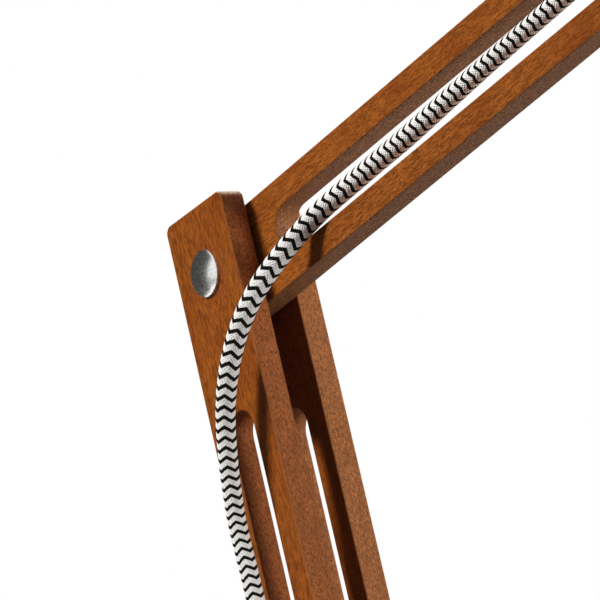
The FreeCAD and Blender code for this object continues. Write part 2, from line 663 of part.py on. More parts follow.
def make_clevis():
    """Bent strip: two ears on the arm's end, floor on top of the socket cup."""
    body = new_body("head_clevis")
    strap = new_sketch(body, "strap", "YZ_Plane")
    inner = "(arm_thickness / 2 + washer_thickness)"
    outer = f"({inner} + clevis_strip)"
    draw_outline(strap, [
        (f"-{outer}", "clevis_width / 2"), (f"-{outer}", "-clevis_drop"), (outer, "-clevis_drop"),
        (outer, "clevis_width / 2"), (inner, "clevis_width / 2"), (inner, "-clevis_drop + clevis_strip"),
        (f"-{inner}", "-clevis_drop + clevis_strip"), (f"-{inner}", "clevis_width / 2")])
    pad(body, strap, "clevis_width", middle=True)
    crown = size("clevis_width") / 2 - 0.01
    round_edges(body, "clevis_width / 2 - clevis_strip / 10",
                lambda e: runs_along(e, Vector(0, 1, 0)) and e.BoundBox.ZMin > crown and e.Length < 5)
    eyes = new_sketch(body, "eyes", "XZ_Plane")
    draw_circle(eyes, "0", "0", "bolt_radius + pivot_clearance")
    pocket(body, eyes)
    square = new_sketch(body, "square", "XZ_Plane", lift=inner)
    side = "neck_side / 2 + thread_clearance"
    draw_rectangle(square, f"-({side})", side, f"-({side})", side)
    pocket(body, square, "clevis_strip", reversed_cut=True)
    floor = new_sketch(body, "floor", lift="-clevis_drop")
    draw_circle(floor, "0", "0", "stud_radius + screw_clearance")
    pocket(body, floor, "clevis_strip", reversed_cut=True)
    body.Placement = HEAD_FRAME
    keep(body)


def make_cup():
    """Deep drawn cup that covers the lamp holder."""
    hole = "stud_radius + screw_clearance"
    inside = f"{CUP} - cup_wall"
    body = turned_part("socket_cup", [
        (hole, "-clevis_drop - cup_wall"), (inside, "-clevis_drop - cup_wall"), (inside, CUP_FOOT),
        (CUP, CUP_FOOT), (CUP, "-clevis_drop"), (hole, "-clevis_drop")])
    crown = -size("clevis_drop")
    rim = worth(CUP)
    round_edges(body, "shoe_round / 2",
                lambda e: abs(e.BoundBox.ZMin - crown) < 1e-6 and e.BoundBox.XMax > rim - 1e-6)
    entry = new_sketch(body, "entry", "YZ_Plane")
    draw_circle(entry, "0", GLAND, "gland_thread + screw_clearance")
    pocket(body, entry, CUP)
    body.Placement = HEAD_FRAME
    keep(body)


def hexagon(across_corners, height, foot):
    """Hexagonal prism that starts at height 'foot' and goes up."""
    spokes = [math.radians(60 * i) for i in range(7)]
    corners = [Vector(across_corners * math.cos(spoke), across_corners * math.sin(spoke), foot)
               for spoke in spokes]
    return Part.Face(Part.makePolygon(corners)).extrude(Vector(0, 0, height))


def make_cup_fixing():
    """Hex bolt from the clevis down into the cup, with its nut inside."""
    seat = -size("clevis_drop") + size("clevis_strip")
    nut_top = -size("clevis_drop") - size("cup_wall")
    height = size("stud_nut_height")
    corner = worth("arm_thickness / 2 + washer_thickness + stud_nut_corner")
    length = seat - nut_top + height + size("washer_thickness")
    shank = Part.makeCylinder(size("stud_radius"), length, Vector(0, 0, seat - length))
    head = hexagon(corner, height, seat)
    keep(feature_of("cup_bolt", head.fuse(shank).removeSplitter(), HEAD_FRAME))
    bore = Part.makeCylinder(worth("stud_radius + screw_clearance"), height, Vector(0, 0, nut_top - height))
    nut = hexagon(corner, height, nut_top - height)
    keep(feature_of("cup_nut", nut.cut(bore), HEAD_FRAME))


def make_holder():
    """Screw lamp holder: body in the cup, collar under it, threaded skirt below."""
    top = f"({CUP_FOOT} + holder_top)"
    mouth = f"({COLLAR_FOOT} - holder_skirt)"
    bore = "bulb_cap_radius + bulb_play"
    keep(turned_part("lamp_holder", [
        ("0", top), ("holder_radius", top), ("holder_radius", CUP_FOOT), (CUP, CUP_FOOT),
        (CUP, COLLAR_FOOT), ("holder_radius", COLLAR_FOOT), ("holder_radius", mouth),
        (bore, mouth), (bore, f"{mouth} + holder_bore_depth"),
        ("0", f"{mouth} + holder_bore_depth")], HEAD_FRAME))
    thread = "holder_radius + thread_clearance"
    keep(turned_part("shade_ring", [
        (thread, f"{SHADE_FOOT} - ring_height"), (RING, f"{SHADE_FOOT} - ring_height"),
        (RING, SHADE_FOOT), (thread, SHADE_FOOT)], HEAD_FRAME))


def make_shade():
    """Spun conical shade with a rolled bead round its mouth."""
    bore = "holder_radius + thread_clearance"
    body = turned_part("lamp_shade", [
        (bore, SHADE_FOOT), (bore, COLLAR_FOOT), (NECK, COLLAR_FOOT),
        ("shade_shoulder", f"{COLLAR_FOOT} - shade_shoulder_drop"),
        ("shade_mouth", f"{COLLAR_FOOT} - shade_height"),
        ("shade_mouth - 1.2 * shade_wall", f"{COLLAR_FOOT} - shade_height"),
        ("shade_shoulder - shade_wall", f"{SHADE_FOOT} - shade_shoulder_drop"),
        (f"{NECK} - shade_wall / 2", SHADE_FOOT)])
    bead = new_sketch(body, "bead", "XZ_Plane")
    draw_circle(bead, "shade_mouth", f"{COLLAR_FOOT} - shade_height", "bead_radius")
    revolve(body, bead)
    body.Placement = HEAD_FRAME
    keep(body)


def make_bulb():
    """Screw cap, plastic collar and hollow globe of the bulb."""
    root = f"({COLLAR_FOOT} - holder_skirt + holder_bore_depth - 2)"
    cap_foot = f"({root} - bulb_cap_length)"
    collar_foot = f"({cap_foot} - bulb_collar_length)"
    keep(turned_part("bulb_screw_cap", [
        ("0", cap_foot), ("bulb_cap_radius", cap_foot), ("bulb_cap_radius", f"{root} - 6"), ("5", root),
        ("0", root)], HEAD_FRAME))
    keep(turned_part("bulb_collar", [
        ("0", collar_foot), ("bulb_collar_foot", collar_foot), ("bulb_collar_radius", cap_foot),
        ("0", cap_foot)], HEAD_FRAME))
    sink = "(bulb_globe ^ 2 - bulb_collar_foot ^ 2) ^ 0.5"
    ball = primitive("Part::Sphere", "bulb_ball", Radius="bulb_globe",
                     Placement__Base__z=f"{collar_foot} - {sink}")
    blank = primitive("Part::Cylinder", "bulb_blank", Radius="bulb_globe", Height="2 * bulb_globe",
                      Placement__Base__z=f"{collar_foot} - 2 * bulb_globe")
    hollow = primitive("Part::Sphere", "bulb_hollow", Radius="bulb_globe - bulb_wall",
                       Placement__Base__z=f"{collar_foot} - {sink}")
    globe = doc.addObject("Part::Cut", "bulb_globe_glass")
    globe.Base = combined("Part::MultiCommon", "bulb_blown", [ball, blank])
    globe.Tool = hollow
    globe.Placement = HEAD_FRAME
    keep(globe)


def make_gland():
    """Strain relief that screws into the cup's side and tapers towards the cord."""
    bore = "cord_radius + cord_clearance"
    body = turned_part("cord_gland", [
        (bore, "-cup_wall - 3"), ("gland_thread", "-cup_wall - 3"), ("gland_thread", "0"),
        ("gland_radius", "0"), ("gland_radius", "gland_collar"), ("gland_nose_radius", "gland_length"),
        (bore, "gland_length")])
    entry = Vector(-worth(CUP), 0, worth(GLAND))
    body.Placement = HEAD_FRAME * Placement(entry, Rotation(Vector(0, 1, 0), -90))
    keep(body)


# ---------------------------------------------------------------- switch and plug on the cord
SWITCH_FRAME = Placement(Vector(-217, 104, 0), Rotation(Vector(0, 0, 1), 90))
PLUG_FRAME = Placement(Vector(-132.6, 93, size("cord_height")), Rotation(Vector(0, 0, 1), -90))
COIL_CENTRE = Vector(-174.8, 198, 0)


def switch_half(name, foot, height, floor):
    """Half of the switch's shell: a box with rounded corners, hollow from one side."""
    body = new_body(name)
    outline = new_sketch(body, "outline", lift=foot)
    half = "switch_length / 2", "switch_width / 2"
    draw_rectangle(outline, f"-{half[0]}", half[0], f"-{half[1]}", half[1])
    pad(body, outline, height)
    round_edges(body, "switch_round", lambda e: runs_along(e, Vector(0, 0, 1)))
    hollow = new_sketch(body, "hollow", lift=floor)
    draw_rectangle(hollow, f"-({half[0]} - 3 * switch_wall)", f"{half[0]} - 3 * switch_wall",
                   f"-({half[1]} - switch_wall)", f"{half[1]} - switch_wall")
    pocket(body, hollow, f"({height} - switch_wall)", reversed_cut=True)
    return body


def make_switch():
    """Inline rocker switch: two shell halves, a rocker on a pin and two cord guards."""
    upper_height = "(switch_height - switch_split)"
    lower = switch_half("switch_lower_half", "0", "switch_split", "switch_wall")
    upper = switch_half("switch_upper_half", "switch_split", upper_height, "switch_split")
    window = new_sketch(upper, "window", lift="switch_height")
    reach = "(rocker_length / 2 + rocker_play)"
    side = "(rocker_width / 2 + rocker_gap)"
    draw_rectangle(window, f"-{reach}", reach, f"-{side}", side)
    pocket(upper, window, "switch_wall + 1")
    bearings = new_sketch(upper, "bearings", "XZ_Plane")
    draw_circle(bearings, "0", "rocker_pin_height", "rocker_pin + thread_clearance")
    pin_length = "(switch_width - 2 * switch_wall + 2 * rocker_pin_bite)"
    bearing_cut = pocket(upper, bearings)
    bearing_cut.Type = "Length"
    bearing_cut.setExpression("Length", formula(f"{pin_length} + 2 * thread_clearance"))
    rocker = new_body("switch_rocker")
    profile = new_sketch(rocker, "profile", "XZ_Plane")
    end = "(switch_height + rocker_stand_out - rocker_pin_height)"
    draw_outline(profile, [
        ("-rocker_length / 4", "-2"), ("rocker_length / 4", "-2"), ("rocker_length / 2", f"{end} - 3"),
        ("rocker_length / 2", end), ("0", f"{end} - rocker_hollow"), ("-rocker_length / 2", end),
        ("-rocker_length / 2", f"{end} - 3")])
    pad(rocker, profile, "rocker_width", middle=True)
    pin = new_sketch(rocker, "pin", "XZ_Plane")
    draw_circle(pin, "0", "0", "rocker_pin")
    pad(rocker, pin, pin_length, middle=True)
    tilt = Placement(Vector(0, 0, size("rocker_pin_height")), Rotation(Vector(0, 1, 0), size("rocker_tilt")))
    for half in (lower, upper):
        half.Placement = SWITCH_FRAME
    rocker.Placement = SWITCH_FRAME * tilt
    keep(lower, upper, rocker)
    guards = []
    for way in (-1, 1):
        foot = Vector(way * size("switch_length") / 2, 0, size("cord_height"))
        guards.append(Part.makeCone(size("guard_radius"), size("guard_tip"), size("guard_length"), foot,
                                    Vector(way, 0, 0)))
    keep(feature_of("switch_cord_guards", Part.makeCompound(guards), SWITCH_FRAME))


def make_plug():
    """Flat two-pin mains plug lying on the table."""
    body = new_body("plug_body")
    outline = new_sketch(body, "outline")
    draw_outline(outline, [
        ("0", "-plug_width / 2"), ("0", "plug_width / 2"), ("-plug_shoulder", "plug_width / 2"),
        ("-plug_length", "plug_back / 2"), ("-plug_length", "-plug_back / 2"),
        ("-plug_shoulder", "-plug_width / 2")])
    pad(body, outline, "plug_height", middle=True)
    face = -0.01
    round_edges(body, "plug_round", lambda e: e.BoundBox.XMin < face)
    sockets = new_sketch(body, "sockets", "YZ_Plane")
    for side in ("-", ""):
        draw_circle(sockets, f"{side}pin_spacing / 2", "0", "pin_radius + screw_clearance")
    pocket(body, sockets, "pin_root + screw_clearance")
    body.Placement = PLUG_FRAME
    keep(body)
    pins = []
    ahead = Vector(1, 0, 0)
    for side in (-1, 1):
        foot = Vector(-size("pin_root"), side * size("pin_spacing") / 2, 0)
        pins.append(Part.makeCylinder(size("pin_radius"), size("pin_root") + size("pin_length"), foot, ahead))
    keep(feature_of("plug_pins", Part.makeCompound(pins), PLUG_FRAME))
    back = Vector(-size("plug_length"), 0, 0)
    nose = Part.makeCone(size("guard_radius"), size("guard_tip"), size("plug_nose"), back, -ahead)
    keep(feature_of("plug_cord_guard", nose, PLUG_FRAME))


# ---------------------------------------------------------------- cord
# Route of the cord in millimetres, chosen by hand, from the lamp holder to the plug.
CORD_ROUTES = {
    "cord_in_gland": [(217.2, 0, 520.1), (182.4, 0, 510.8)],
    "cord_head_loop": [
        (182.1, 0, 510.7), (161.4, -0.8, 505.1), (138.6, -6.5, 510.7), (118.6, -10.5, 519.8),
        (96.8, -10, 528), (76.9, -6, 530.1), (57.3, -1, 524.4), (39.3, -0.5, 515.8)],
    "cord_upper": [
        (39.3, -0.5, 515.8), (21.3, 0, 507.1), (-18.7, 0, 486.5), (-53.6, 0, 467.9), (-68.7, -0.1, 460.6)],
    "cord_elbow": [
        (-68.7, -0.1, 460.6), (-83.4, -0.3, 453), (-99.9, -3.5, 442.6), (-109.8, -11.5, 428.6),
        (-117.8, -16.8, 415.8), (-126, -19, 399.7), (-130.2, -19.8, 379.7), (-128.4, -19.2, 358.9),
        (-126.5, -18.8, 349.6)],
    "cord_lower": [
        (-126.4, -18.8, 349.3), (-124.6, -18.3, 340.3), (-115.3, -18.3, 320.6), (-106.4, -18.4, 299),
        (-93.8, -18.4, 279.6), (-82.8, -13.7, 262.7), (-73.5, -10.8, 245.1), (-57.3, -10.5, 208.4),
        (-43.8, -10.3, 175.1), (-36, -8, 157.5), (-33.9, -5.4, 148.6)],
    "cord_base_loop": [
        (-33.8, -5.3, 148.3), (-31.5, -2.5, 139), (-31.5, 0, 123), (-33.5, 0, 108), (-38, 0, 93),
        (-42, 0, 78), (-44, 0, 63.5), (-46, 0, 50.5), (-51, 0, 39.5), (-59.2, 0, 31.3), (-70, 0, 27.1),
        (-82.7, 0, 27.1)],
    "cord_in_clamp": [(-83, 0, 27.1), (-95, 0, 27.1)],
    "cord_lead": [
        (-95, 0, 27.1), (-105, 0, 27.1), (-117.5, 0, 23.9), (-131.5, 0, 15), (-146.5, 0, 6.4),
        (-162.5, 0, 3.1), (-182, 1, 3.1), (-201, 9, 3.1), (-214, 25, 3.1), (-217, 44, 7), (-217, 56, 7)],
    "cord_behind_switch": [(-217, 152, 7), (-217, 161, 7), (-217.3, 176, 3.4)],
    "cord_tail": [(-132.6, 176, 9.3), (-132.6, 163, 7), (-132.6, 151, 7)],
}


def arc_at(before, corner, after):
    """Largest gentle arc at a corner: its two ends, its middle and its radius."""
    back = before - corner
    ahead = after - corner
    turn = math.pi - back.getAngle(ahead)
    trim = 0.45 * min(back.Length, ahead.Length)
    radius = trim / math.tan(turn / 2)
    back.normalize()
    ahead.normalize()
    inward = (back + ahead).normalize()
    middle = corner + inward * (math.hypot(trim, radius) - radius)
    return corner + back * trim, middle, corner + ahead * trim, radius


def cord_path(points):
    """Straight runs joined by tangent arcs through a list of points."""
    spots = [Vector(*point) for point in points]
    edges = []
    radii = []
    start = spots[0]
    for before, corner, after in zip(spots, spots[1:], spots[2:]):
        entry, middle, leave, radius = arc_at(before, corner, after)
        edges.append(Part.LineSegment(start, entry).toShape())
        edges.append(Part.Arc(entry, middle, leave).toShape())
        radii.append(radius)
        start = leave
    edges.append(Part.LineSegment(start, spots[-1]).toShape())
    return Part.Wire(edges), radii


def make_cord():
    """One round tube for each stretch of the route, its volume checked against its length."""
    radius = size("cord_radius")
    for name, points in CORD_ROUTES.items():
        path, radii = cord_path(points)
        section = Part.Circle(Vector(*points[0]), Vector(*points[1]) - Vector(*points[0]), radius)
        tube = path.makePipeShell([Part.Wire([section.toShape()])], True, False)
        wanted = math.pi * radius ** 2 * path.Length
        if abs(tube.Volume / wanted - 1) > 0.01:
            raise RuntimeError(f"{name}: tube volume {tube.Volume:.0f}, wanted {wanted:.0f}")
        print(f"{name}: {path.Length:.0f} mm, arc radii", *(f"{arc:.0f}" for arc in radii))
        keep(feature_of(name, tube))


def make_coil():
    """Outer shape of the spare cord's coil."""
    half_width = size("coil_columns") * size("cord_radius")
    height = 2 * size("coil_layers") * size("cord_radius")
    outer = Part.makeCylinder(size("coil_radius") + half_width, height, COIL_CENTRE)
    inner = Part.makeCylinder(size("coil_radius") - half_width, height, COIL_CENTRE)
    keep(feature_of("cord_coil", outer.cut(inner)))


def export():
    """Check every object and write one STEP file for each sub-part."""
    doc.recompute()
    for thing in doc.Objects:
        if "Invalid" in thing.State or "Error" in thing.State:
            raise RuntimeError(f"{thing.Name}: {thing.State}")
    os.makedirs("parts", exist_ok=True)
    for thing in PARTS:
        shape = thing.Shape
        if shape.isNull() or not shape.isValid() or not shape.Solids:
            raise RuntimeError(f"{thing.Label} has no valid solid")
        shape.exportStep(os.path.join("parts", f"{thing.Label}.step"))
    print(len(PARTS), "sub-parts")


make_base_pad()
make_base_disc()
make_base_weight()
make_post_shoe()
make_base_post()
make_base_screws()
make_cord_clamp()
make_arms()
make_hinges()
make_clevis()
make_cup()
make_cup_fixing()
make_holder()
make_shade()
make_bulb()
make_gland()
make_switch()
make_plug()
make_cord()
make_coil()
export()
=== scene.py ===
# %% [markdown]
# # A wooden swing-arm table lamp
# The construction model already holds every piece of the lamp at its real size and place.
# This lesson gives those pieces their looks: stained beech, satin zinc, a braided textile cord
# with a zigzag, spun and moulded parts, and a plain studio to see them in. Where a piece needs a
# finer shape, a new mesh stands in for it. The first cell loads the construction model.

# %% Load the construction model
import math

import bmesh
import bpy
from mathutils import Matrix, Vector


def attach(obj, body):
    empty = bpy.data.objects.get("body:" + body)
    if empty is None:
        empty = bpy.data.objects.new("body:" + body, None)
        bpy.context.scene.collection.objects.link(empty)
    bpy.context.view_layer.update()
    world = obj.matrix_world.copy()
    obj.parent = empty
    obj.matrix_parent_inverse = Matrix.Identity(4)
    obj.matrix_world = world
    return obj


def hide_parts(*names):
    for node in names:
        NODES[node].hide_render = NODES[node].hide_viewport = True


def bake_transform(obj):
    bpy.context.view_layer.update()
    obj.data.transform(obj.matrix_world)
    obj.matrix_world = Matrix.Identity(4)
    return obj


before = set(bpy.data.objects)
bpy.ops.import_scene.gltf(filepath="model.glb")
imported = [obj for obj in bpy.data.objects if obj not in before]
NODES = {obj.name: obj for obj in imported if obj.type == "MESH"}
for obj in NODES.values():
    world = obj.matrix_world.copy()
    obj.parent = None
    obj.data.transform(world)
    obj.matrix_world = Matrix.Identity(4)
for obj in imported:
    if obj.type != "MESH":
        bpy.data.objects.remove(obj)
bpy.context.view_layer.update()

# %% [markdown]
# ## Sizes and places
# A maker measures in millimetres and Blender works in metres, so one small function converts.
# Three pivots carry the joints: the lower arm leans back, the upper arm rises forward and the
# head hangs from it. New pieces are made upright at the origin, where their numbers are simple,
# and a frame then carries them to their place.

# %% Pivots, angles and frames
def mm(*values):
    """Millimetres to metres, as one number or as a point."""
    scaled = [value / 1000 for value in values]
    return scaled[0] if len(scaled) == 1 else Vector(scaled)


LOWER_ANGLE = math.radians(113)
UPPER_ANGLE = math.radians(26)
HEAD_ANGLE = math.radians(15)
BASE_PIVOT = mm(0, 0, 72)
ELBOW = mm(-148.478, 0, 421.792)
HEAD_PIVOT = mm(211.04, 0, 597.14)


def placed(point, angle=0.0, tip=0.0):
    """Frame at a point: turned by an angle in the XZ plane, then tipped about its own X."""
    return (Matrix.Translation(point) @ Matrix.Rotation(-angle, 4, "Y")
            @ Matrix.Rotation(math.radians(tip), 4, "X"))


print("elbow at", tuple(round(value, 4) for value in ELBOW))

# %% [markdown]
# ## Camera
# A long lens from two metres away flattens the perspective. It looks at the elbow from the
# front right, a little above level, so the bolt head, the slots and the cord all show. A
# constraint could aim it; two plain angles do the same and give the same view each time.

# %% Camera
CAMERA_TURN, CAMERA_RISE = math.radians(56.22), math.radians(2.28)
camera_data = bpy.data.cameras.new("camera")
camera_data.lens = 362.06
camera_data.sensor_width = 36
camera_data.clip_end = 50
camera = bpy.data.objects.new("camera", camera_data)
camera.location = (1.530091, -1.100556, 0.492552)
camera.rotation_euler = (math.radians(90) - CAMERA_RISE, 0, CAMERA_TURN)
bpy.context.collection.objects.link(camera)
bpy.context.scene.camera = camera
print("camera", round((camera.location - ELBOW).length, 3), "m from the elbow")

# %% [markdown]
# ## Shader helpers
# Each finish is a small node tree round one Principled shader. Nodes could be placed and linked
# one by one, but that takes many lines. These helpers add a node and fill or link its inputs in
# one call, so a finish reads from its coordinates to its colour.

# %% Node, colour and material helpers
def add(tree, kind, inputs=None, **settings):
    """Add one shader node, set its options, then fill or link its inputs."""
    made = tree.nodes.new("ShaderNode" + kind)
    for option, value in settings.items():
        setattr(made, option, value)
    for socket, value in (inputs or {}).items():
        if isinstance(value, bpy.types.NodeSocket):
            tree.links.new(value, made.inputs[socket])
        else:
            made.inputs[socket].default_value = value
    return made


def colour(red, green, blue):
    """Screen colour from 0 to 255 as the linear colour a shader takes."""
    shares = [value / 255 for value in (red, green, blue)]
    return (*[s / 12.92 if s <= 0.04045 else ((s + 0.055) / 1.055) ** 2.4 for s in shares], 1)


def darkened(tint, share):
    """Linear colour times a share, which may be more than 1."""
    return tuple(value * share for value in tint[:3]) + (1,)


def finish(name, tint, roughness, metallic=0.0):
    """New material with one plain Principled shader."""
    material = bpy.data.materials.new(name)
    material.use_nodes = True
    shader = material.node_tree.nodes["Principled BSDF"]
    shader.inputs["Base Color"].default_value = tint
    shader.inputs["Roughness"].default_value = roughness
    shader.inputs["Metallic"].default_value = metallic
    return material, material.node_tree, shader


print("mid grey 128 is", round(colour(128, 128, 128)[0], 3), "to a shader")

# %% Pattern helpers
def mixed(tree, factor, first, second, mode="MIX"):
    """Colour output that goes from the first to the second colour."""
    return add(tree, "Mix", {0: factor, 6: first, 7: second}, data_type="RGBA",
               blend_type=mode).outputs[2]


def maths(tree, operation, first, second=0.5, third=0.5):
    """Output of one Math node."""
    return add(tree, "Math", {0: first, 1: second, 2: third}, operation=operation).outputs[0]


def step(tree, value, low, high, start=0.0, stop=1.0):
    """Smooth step of a value between two limits."""
    return add(tree, "MapRange", {"Value": value, "From Min": low, "From Max": high,
                                  "To Min": start, "To Max": stop},
               interpolation_type="SMOOTHSTEP").outputs[0]


def noise(tree, vector, scale, detail=2.0, rough=0.5, distortion=0.0):
    """Noise pattern from about 0.2 to 0.8."""
    return add(tree, "TexNoise", {"Vector": vector, "Scale": scale, "Detail": detail,
                                  "Roughness": rough, "Distortion": distortion}).outputs["Fac"]


def bump(tree, shader, height, distance):
    """Raise the surface by a height pattern; distance is in metres."""
    raised = add(tree, "Bump", {"Height": height, "Distance": distance, "Strength": 1.0})
    tree.links.new(raised.outputs[0], shader.inputs["Normal"])


print("patterns come from noise, step and maths, and end in mixed or bump")

# %% [markdown]
# ## Beech: the grain
# The arms are beech planks with a warm brown stain and a thin satin oil. An image of wood could
# be wrapped round them, but it would show seams and repeats. Noise on a piece's own coordinates
# has neither and runs on through the plank, as real grain does. Each pattern here is a noise that
# is drawn out along the plank, and a seed shifts it, so no two planks look alike.

# %% Grain patterns
# Share of the scale that is kept along the plank, scale, detail, roughness, distortion, and the
# noise values at which the pattern begins and is full.
GRAIN_PATTERNS = {
    "bands": (0.05, 110, 2, 0.5, 0.0, 0.35, 0.65),
    "streaks": (0.14, 1850, 3, 0.7, 0.0, 0.38, 0.62),
    "flecks": (0.2, 2300, 2, 0.5, 0.0, 0.54, 0.66),
    "clouds": (0.45, 75, 3, 0.6, 0.0, 0.42, 0.68),
    "fuzz": (0.6, 1500, 4, 0.72, 0.9, 0.36, 0.64),
    "blotches": (0.5, 270, 3, 0.6, 0.0, 0.4, 0.64),
}


def grain_patterns(tree, grain, seed):
    """Every grain pattern, from coordinates whose X runs along the plank."""
    made = {}
    for shift, (name, row) in enumerate(GRAIN_PATTERNS.items()):
        kept_along, scale, detail, rough, distortion, low, high = row
        drawn_out = add(tree, "Mapping", {"Vector": grain, "Scale": (kept_along, 1, 1),
                                          "Location": (seed + shift, seed * 0.7, shift)})
        grains = noise(tree, drawn_out.outputs[0], scale, detail, rough, distortion)
        made[name] = step(tree, grains, low, high)
    return made


print("grain patterns:", ", ".join(GRAIN_PATTERNS))

# %% [markdown]
# ## Beech: its faces
# The wide faces show fine streaks and short dark flecks that lie along the grain, the sawn
# narrow faces are mottled and a little greyer, partly as painted sheen, and the end grain is
# pale, partly as a painted highlight of the light on the top ends. Painting them by hand would
# tie them to one plank's size, so each is a colour in a dark and a light shade, with other tints
# where a pattern shows.

# %% Wide, narrow and end faces
def tinted(tree, shown, pattern, share, tint):
    """Lay a tint over a face where a pattern shows, as strongly as its share says."""
    return mixed(tree, maths(tree, "MULTIPLY", pattern, share), shown, tint)


def wide_face(tree, patterns, tint):
    """Planed face: streaks, warm bands, dark clouds and flecks."""
    shown = mixed(tree, patterns["streaks"], darkened(tint, 0.5), darkened(tint, 1.42))
    shown = tinted(tree, shown, patterns["bands"], 0.4, colour(166, 90, 30))
    shown = tinted(tree, shown, patterns["clouds"], 0.4, colour(120, 52, 18))
    return tinted(tree, shown, patterns["flecks"], 0.6, colour(92, 40, 14))


def narrow_face(tree, patterns, tint):
    """Sawn face: woolly fuzz and a few darker blotches, on a greyer tint that is partly painted
    sheen.
    """
    shown = mixed(tree, patterns["fuzz"], darkened(tint, 0.48), darkened(tint, 1.6))
    return tinted(tree, shown, patterns["blotches"], 0.35, darkened(tint, 0.6))


def end_face(tree, grain):
    """End grain: pale, partly as a painted highlight of the lit top ends, with fine pores."""
    pores = step(tree, noise(tree, grain, 1500, 3), 0.4, 0.65)
    return mixed(tree, pores, colour(228, 189, 156), colour(184, 138, 104))


print("half of a mid brown:", [round(part, 3) for part in darkened(colour(145, 78, 28), 0.5)])

# %% [markdown]
# ## Beech: the whole finish
# Each face could have a material of its own, but the planks' rounded edges would then show hard
# borders. One material blends the faces instead, by the way the surface looks. A Mapping node
# turns both the place and that direction, so X runs along the plank however it leans. The rounded
# edges are painted paler, as a painted highlight where they would catch the light.

# %% Wood finish
OIL_GLOSS = 0.14
# Colour of the painted highlight along the rounded edges.
EDGE_HIGHLIGHT = (178, 116, 70)
STAIN_DEPTH = (0.87, 0.87, 0.87, 1)
GRAIN_RELIEF = 0.00012
OIL_ROUGHNESS, STREAK_ROUGHNESS = 0.46, 0.12
FLAT_FROM, FLAT_TO = 0.55, 0.85
# Painted highlight where wide and narrow faces meet: how far a surface must face both ways before
# it begins and is full, and its share.
HIGHLIGHT_FROM, HIGHLIGHT_TO, HIGHLIGHT_SHARE = 0.3, 0.48, 0.5
# How far a surface must look along the grain before end grain begins and is full, and its share.
STANDING_END = (0.25, 0.6, 1.0)
LYING_END = (0.45, 0.98, 0.35)
END_BLEND = 0.002


def wood(name, pivot, lean, seed, wide=(145, 78, 28), narrow=(152, 92, 52), middle=0.195,
         reach=0.192, lying=False):
    """Oiled beech whose grain leans; end grain shows beyond a reach from the plank's middle."""
    material, tree, shader = finish(name, colour(*wide), 0.5)
    shader.inputs["Specular IOR Level"].default_value = OIL_GLOSS
    place = add(tree, "TexCoord").outputs
    turn = {"Rotation": (0, -lean, 0)}
    grain = add(tree, "Mapping", {"Vector": place["Object"], "Location": tuple(pivot), **turn},
                vector_type="TEXTURE").outputs[0]
    facing = add(tree, "Mapping", {"Vector": place["Normal"], **turn},
                 vector_type="TEXTURE").outputs[0]
    end_on, flat_on, edge_on = [maths(tree, "ABSOLUTE", way)
                                for way in add(tree, "SeparateXYZ", {0: facing}).outputs]
    if lying:
        flat_on, edge_on = edge_on, flat_on
    end_from, end_to, end_share = LYING_END if lying else STANDING_END

    patterns = grain_patterns(tree, grain, seed)
    shown = mixed(tree, step(tree, flat_on, FLAT_FROM, FLAT_TO),
                  narrow_face(tree, patterns, colour(*narrow)),
                  wide_face(tree, patterns, colour(*wide)))
    along = add(tree, "SeparateXYZ", {0: grain}).outputs[0]
    from_middle = maths(tree, "ABSOLUTE", maths(tree, "SUBTRACT", along, middle))
    at_end = maths(tree, "MULTIPLY", step(tree, end_on, end_from, end_to, 0, end_share),
                   step(tree, from_middle, reach, reach + END_BLEND))
    # Pale end grain, partly a painted highlight of the light on the top ends.
    shown = mixed(tree, at_end, shown, end_face(tree, grain))
    # Painted highlight along the rounded edges, paler where they would catch the light.
    corner_on = maths(tree, "MULTIPLY", flat_on, edge_on)
    edge_highlight = step(tree, corner_on, HIGHLIGHT_FROM, HIGHLIGHT_TO, 0, HIGHLIGHT_SHARE)
    shown = mixed(tree, edge_highlight, shown, colour(*EDGE_HIGHLIGHT))
    shown = mixed(tree, 1.0, shown, STAIN_DEPTH, "MULTIPLY")
    tree.links.new(shown, shader.inputs["Base Color"])
    dulled = maths(tree, "MULTIPLY_ADD", patterns["streaks"], STREAK_ROUGHNESS, OIL_ROUGHNESS)
    tree.links.new(dulled, shader.inputs["Roughness"])
    relief = maths(tree, "MULTIPLY_ADD", patterns["flecks"], -0.5,
                   maths(tree, "MULTIPLY", patterns["fuzz"], 0.3))
    bump(tree, shader, relief, GRAIN_RELIEF)
    return material


# The far cheek's sawn faces are lighter than the near cheek's, and the upper arm's faces lighter
# and greyer. This is partly different pieces of beech and partly painted light, for the fill light
# and sheen that they catch.
near_wood = wood("beech_near_cheek", BASE_PIVOT, LOWER_ANGLE, 0.0, narrow=(161, 90, 41))
far_wood = wood("beech_far_cheek", BASE_PIVOT, LOWER_ANGLE, 3.1, narrow=(168, 103, 56))
upper_wood = wood("beech_upper_arm", ELBOW, UPPER_ANGLE, 5.7, wide=(152, 86, 35),
                  narrow=(162, 108, 70))
post_wood = wood("beech_post", BASE_PIVOT, math.radians(90), 8.3, middle=0, reach=0)
base_wood = wood("beech_base", mm(0, 0, 0), 0.0, 1.9, middle=0, reach=0, lying=True)
print(len(near_wood.node_tree.nodes), "nodes in the near cheek's beech")

# %% Give the wood to its pieces
def assign(material, *names):
    """Give construction pieces their finish through their own material slots."""
    for name in names:
        holder = NODES[name]
        if not holder.material_slots:
            holder.data.materials.append(material)
        for held in holder.material_slots:
            held.material = material
    print(material.name, "on", len(names), "pieces")


assign(near_wood, "lower_cheek_near")
assign(far_wood, "lower_cheek_far")
assign(upper_wood, "upper_arm_plank")
assign(post_wood, "base_post")
assign(base_wood, "base_disc", "post_shoe")

# %% [markdown]
# ## Metal, plastic, felt and glass
# Satin zinc is a metal whose roughness wanders a little, moulded plastic has a fine spark-eroded
# texture, enamel a soft orange-peel, felt is fuzzy, and the bulb's opal glass is a milky white.
# Each could have nodes of its own, but all wander in the same way, so one function makes them.

# %% Plain finishes
WANDER = 0.05


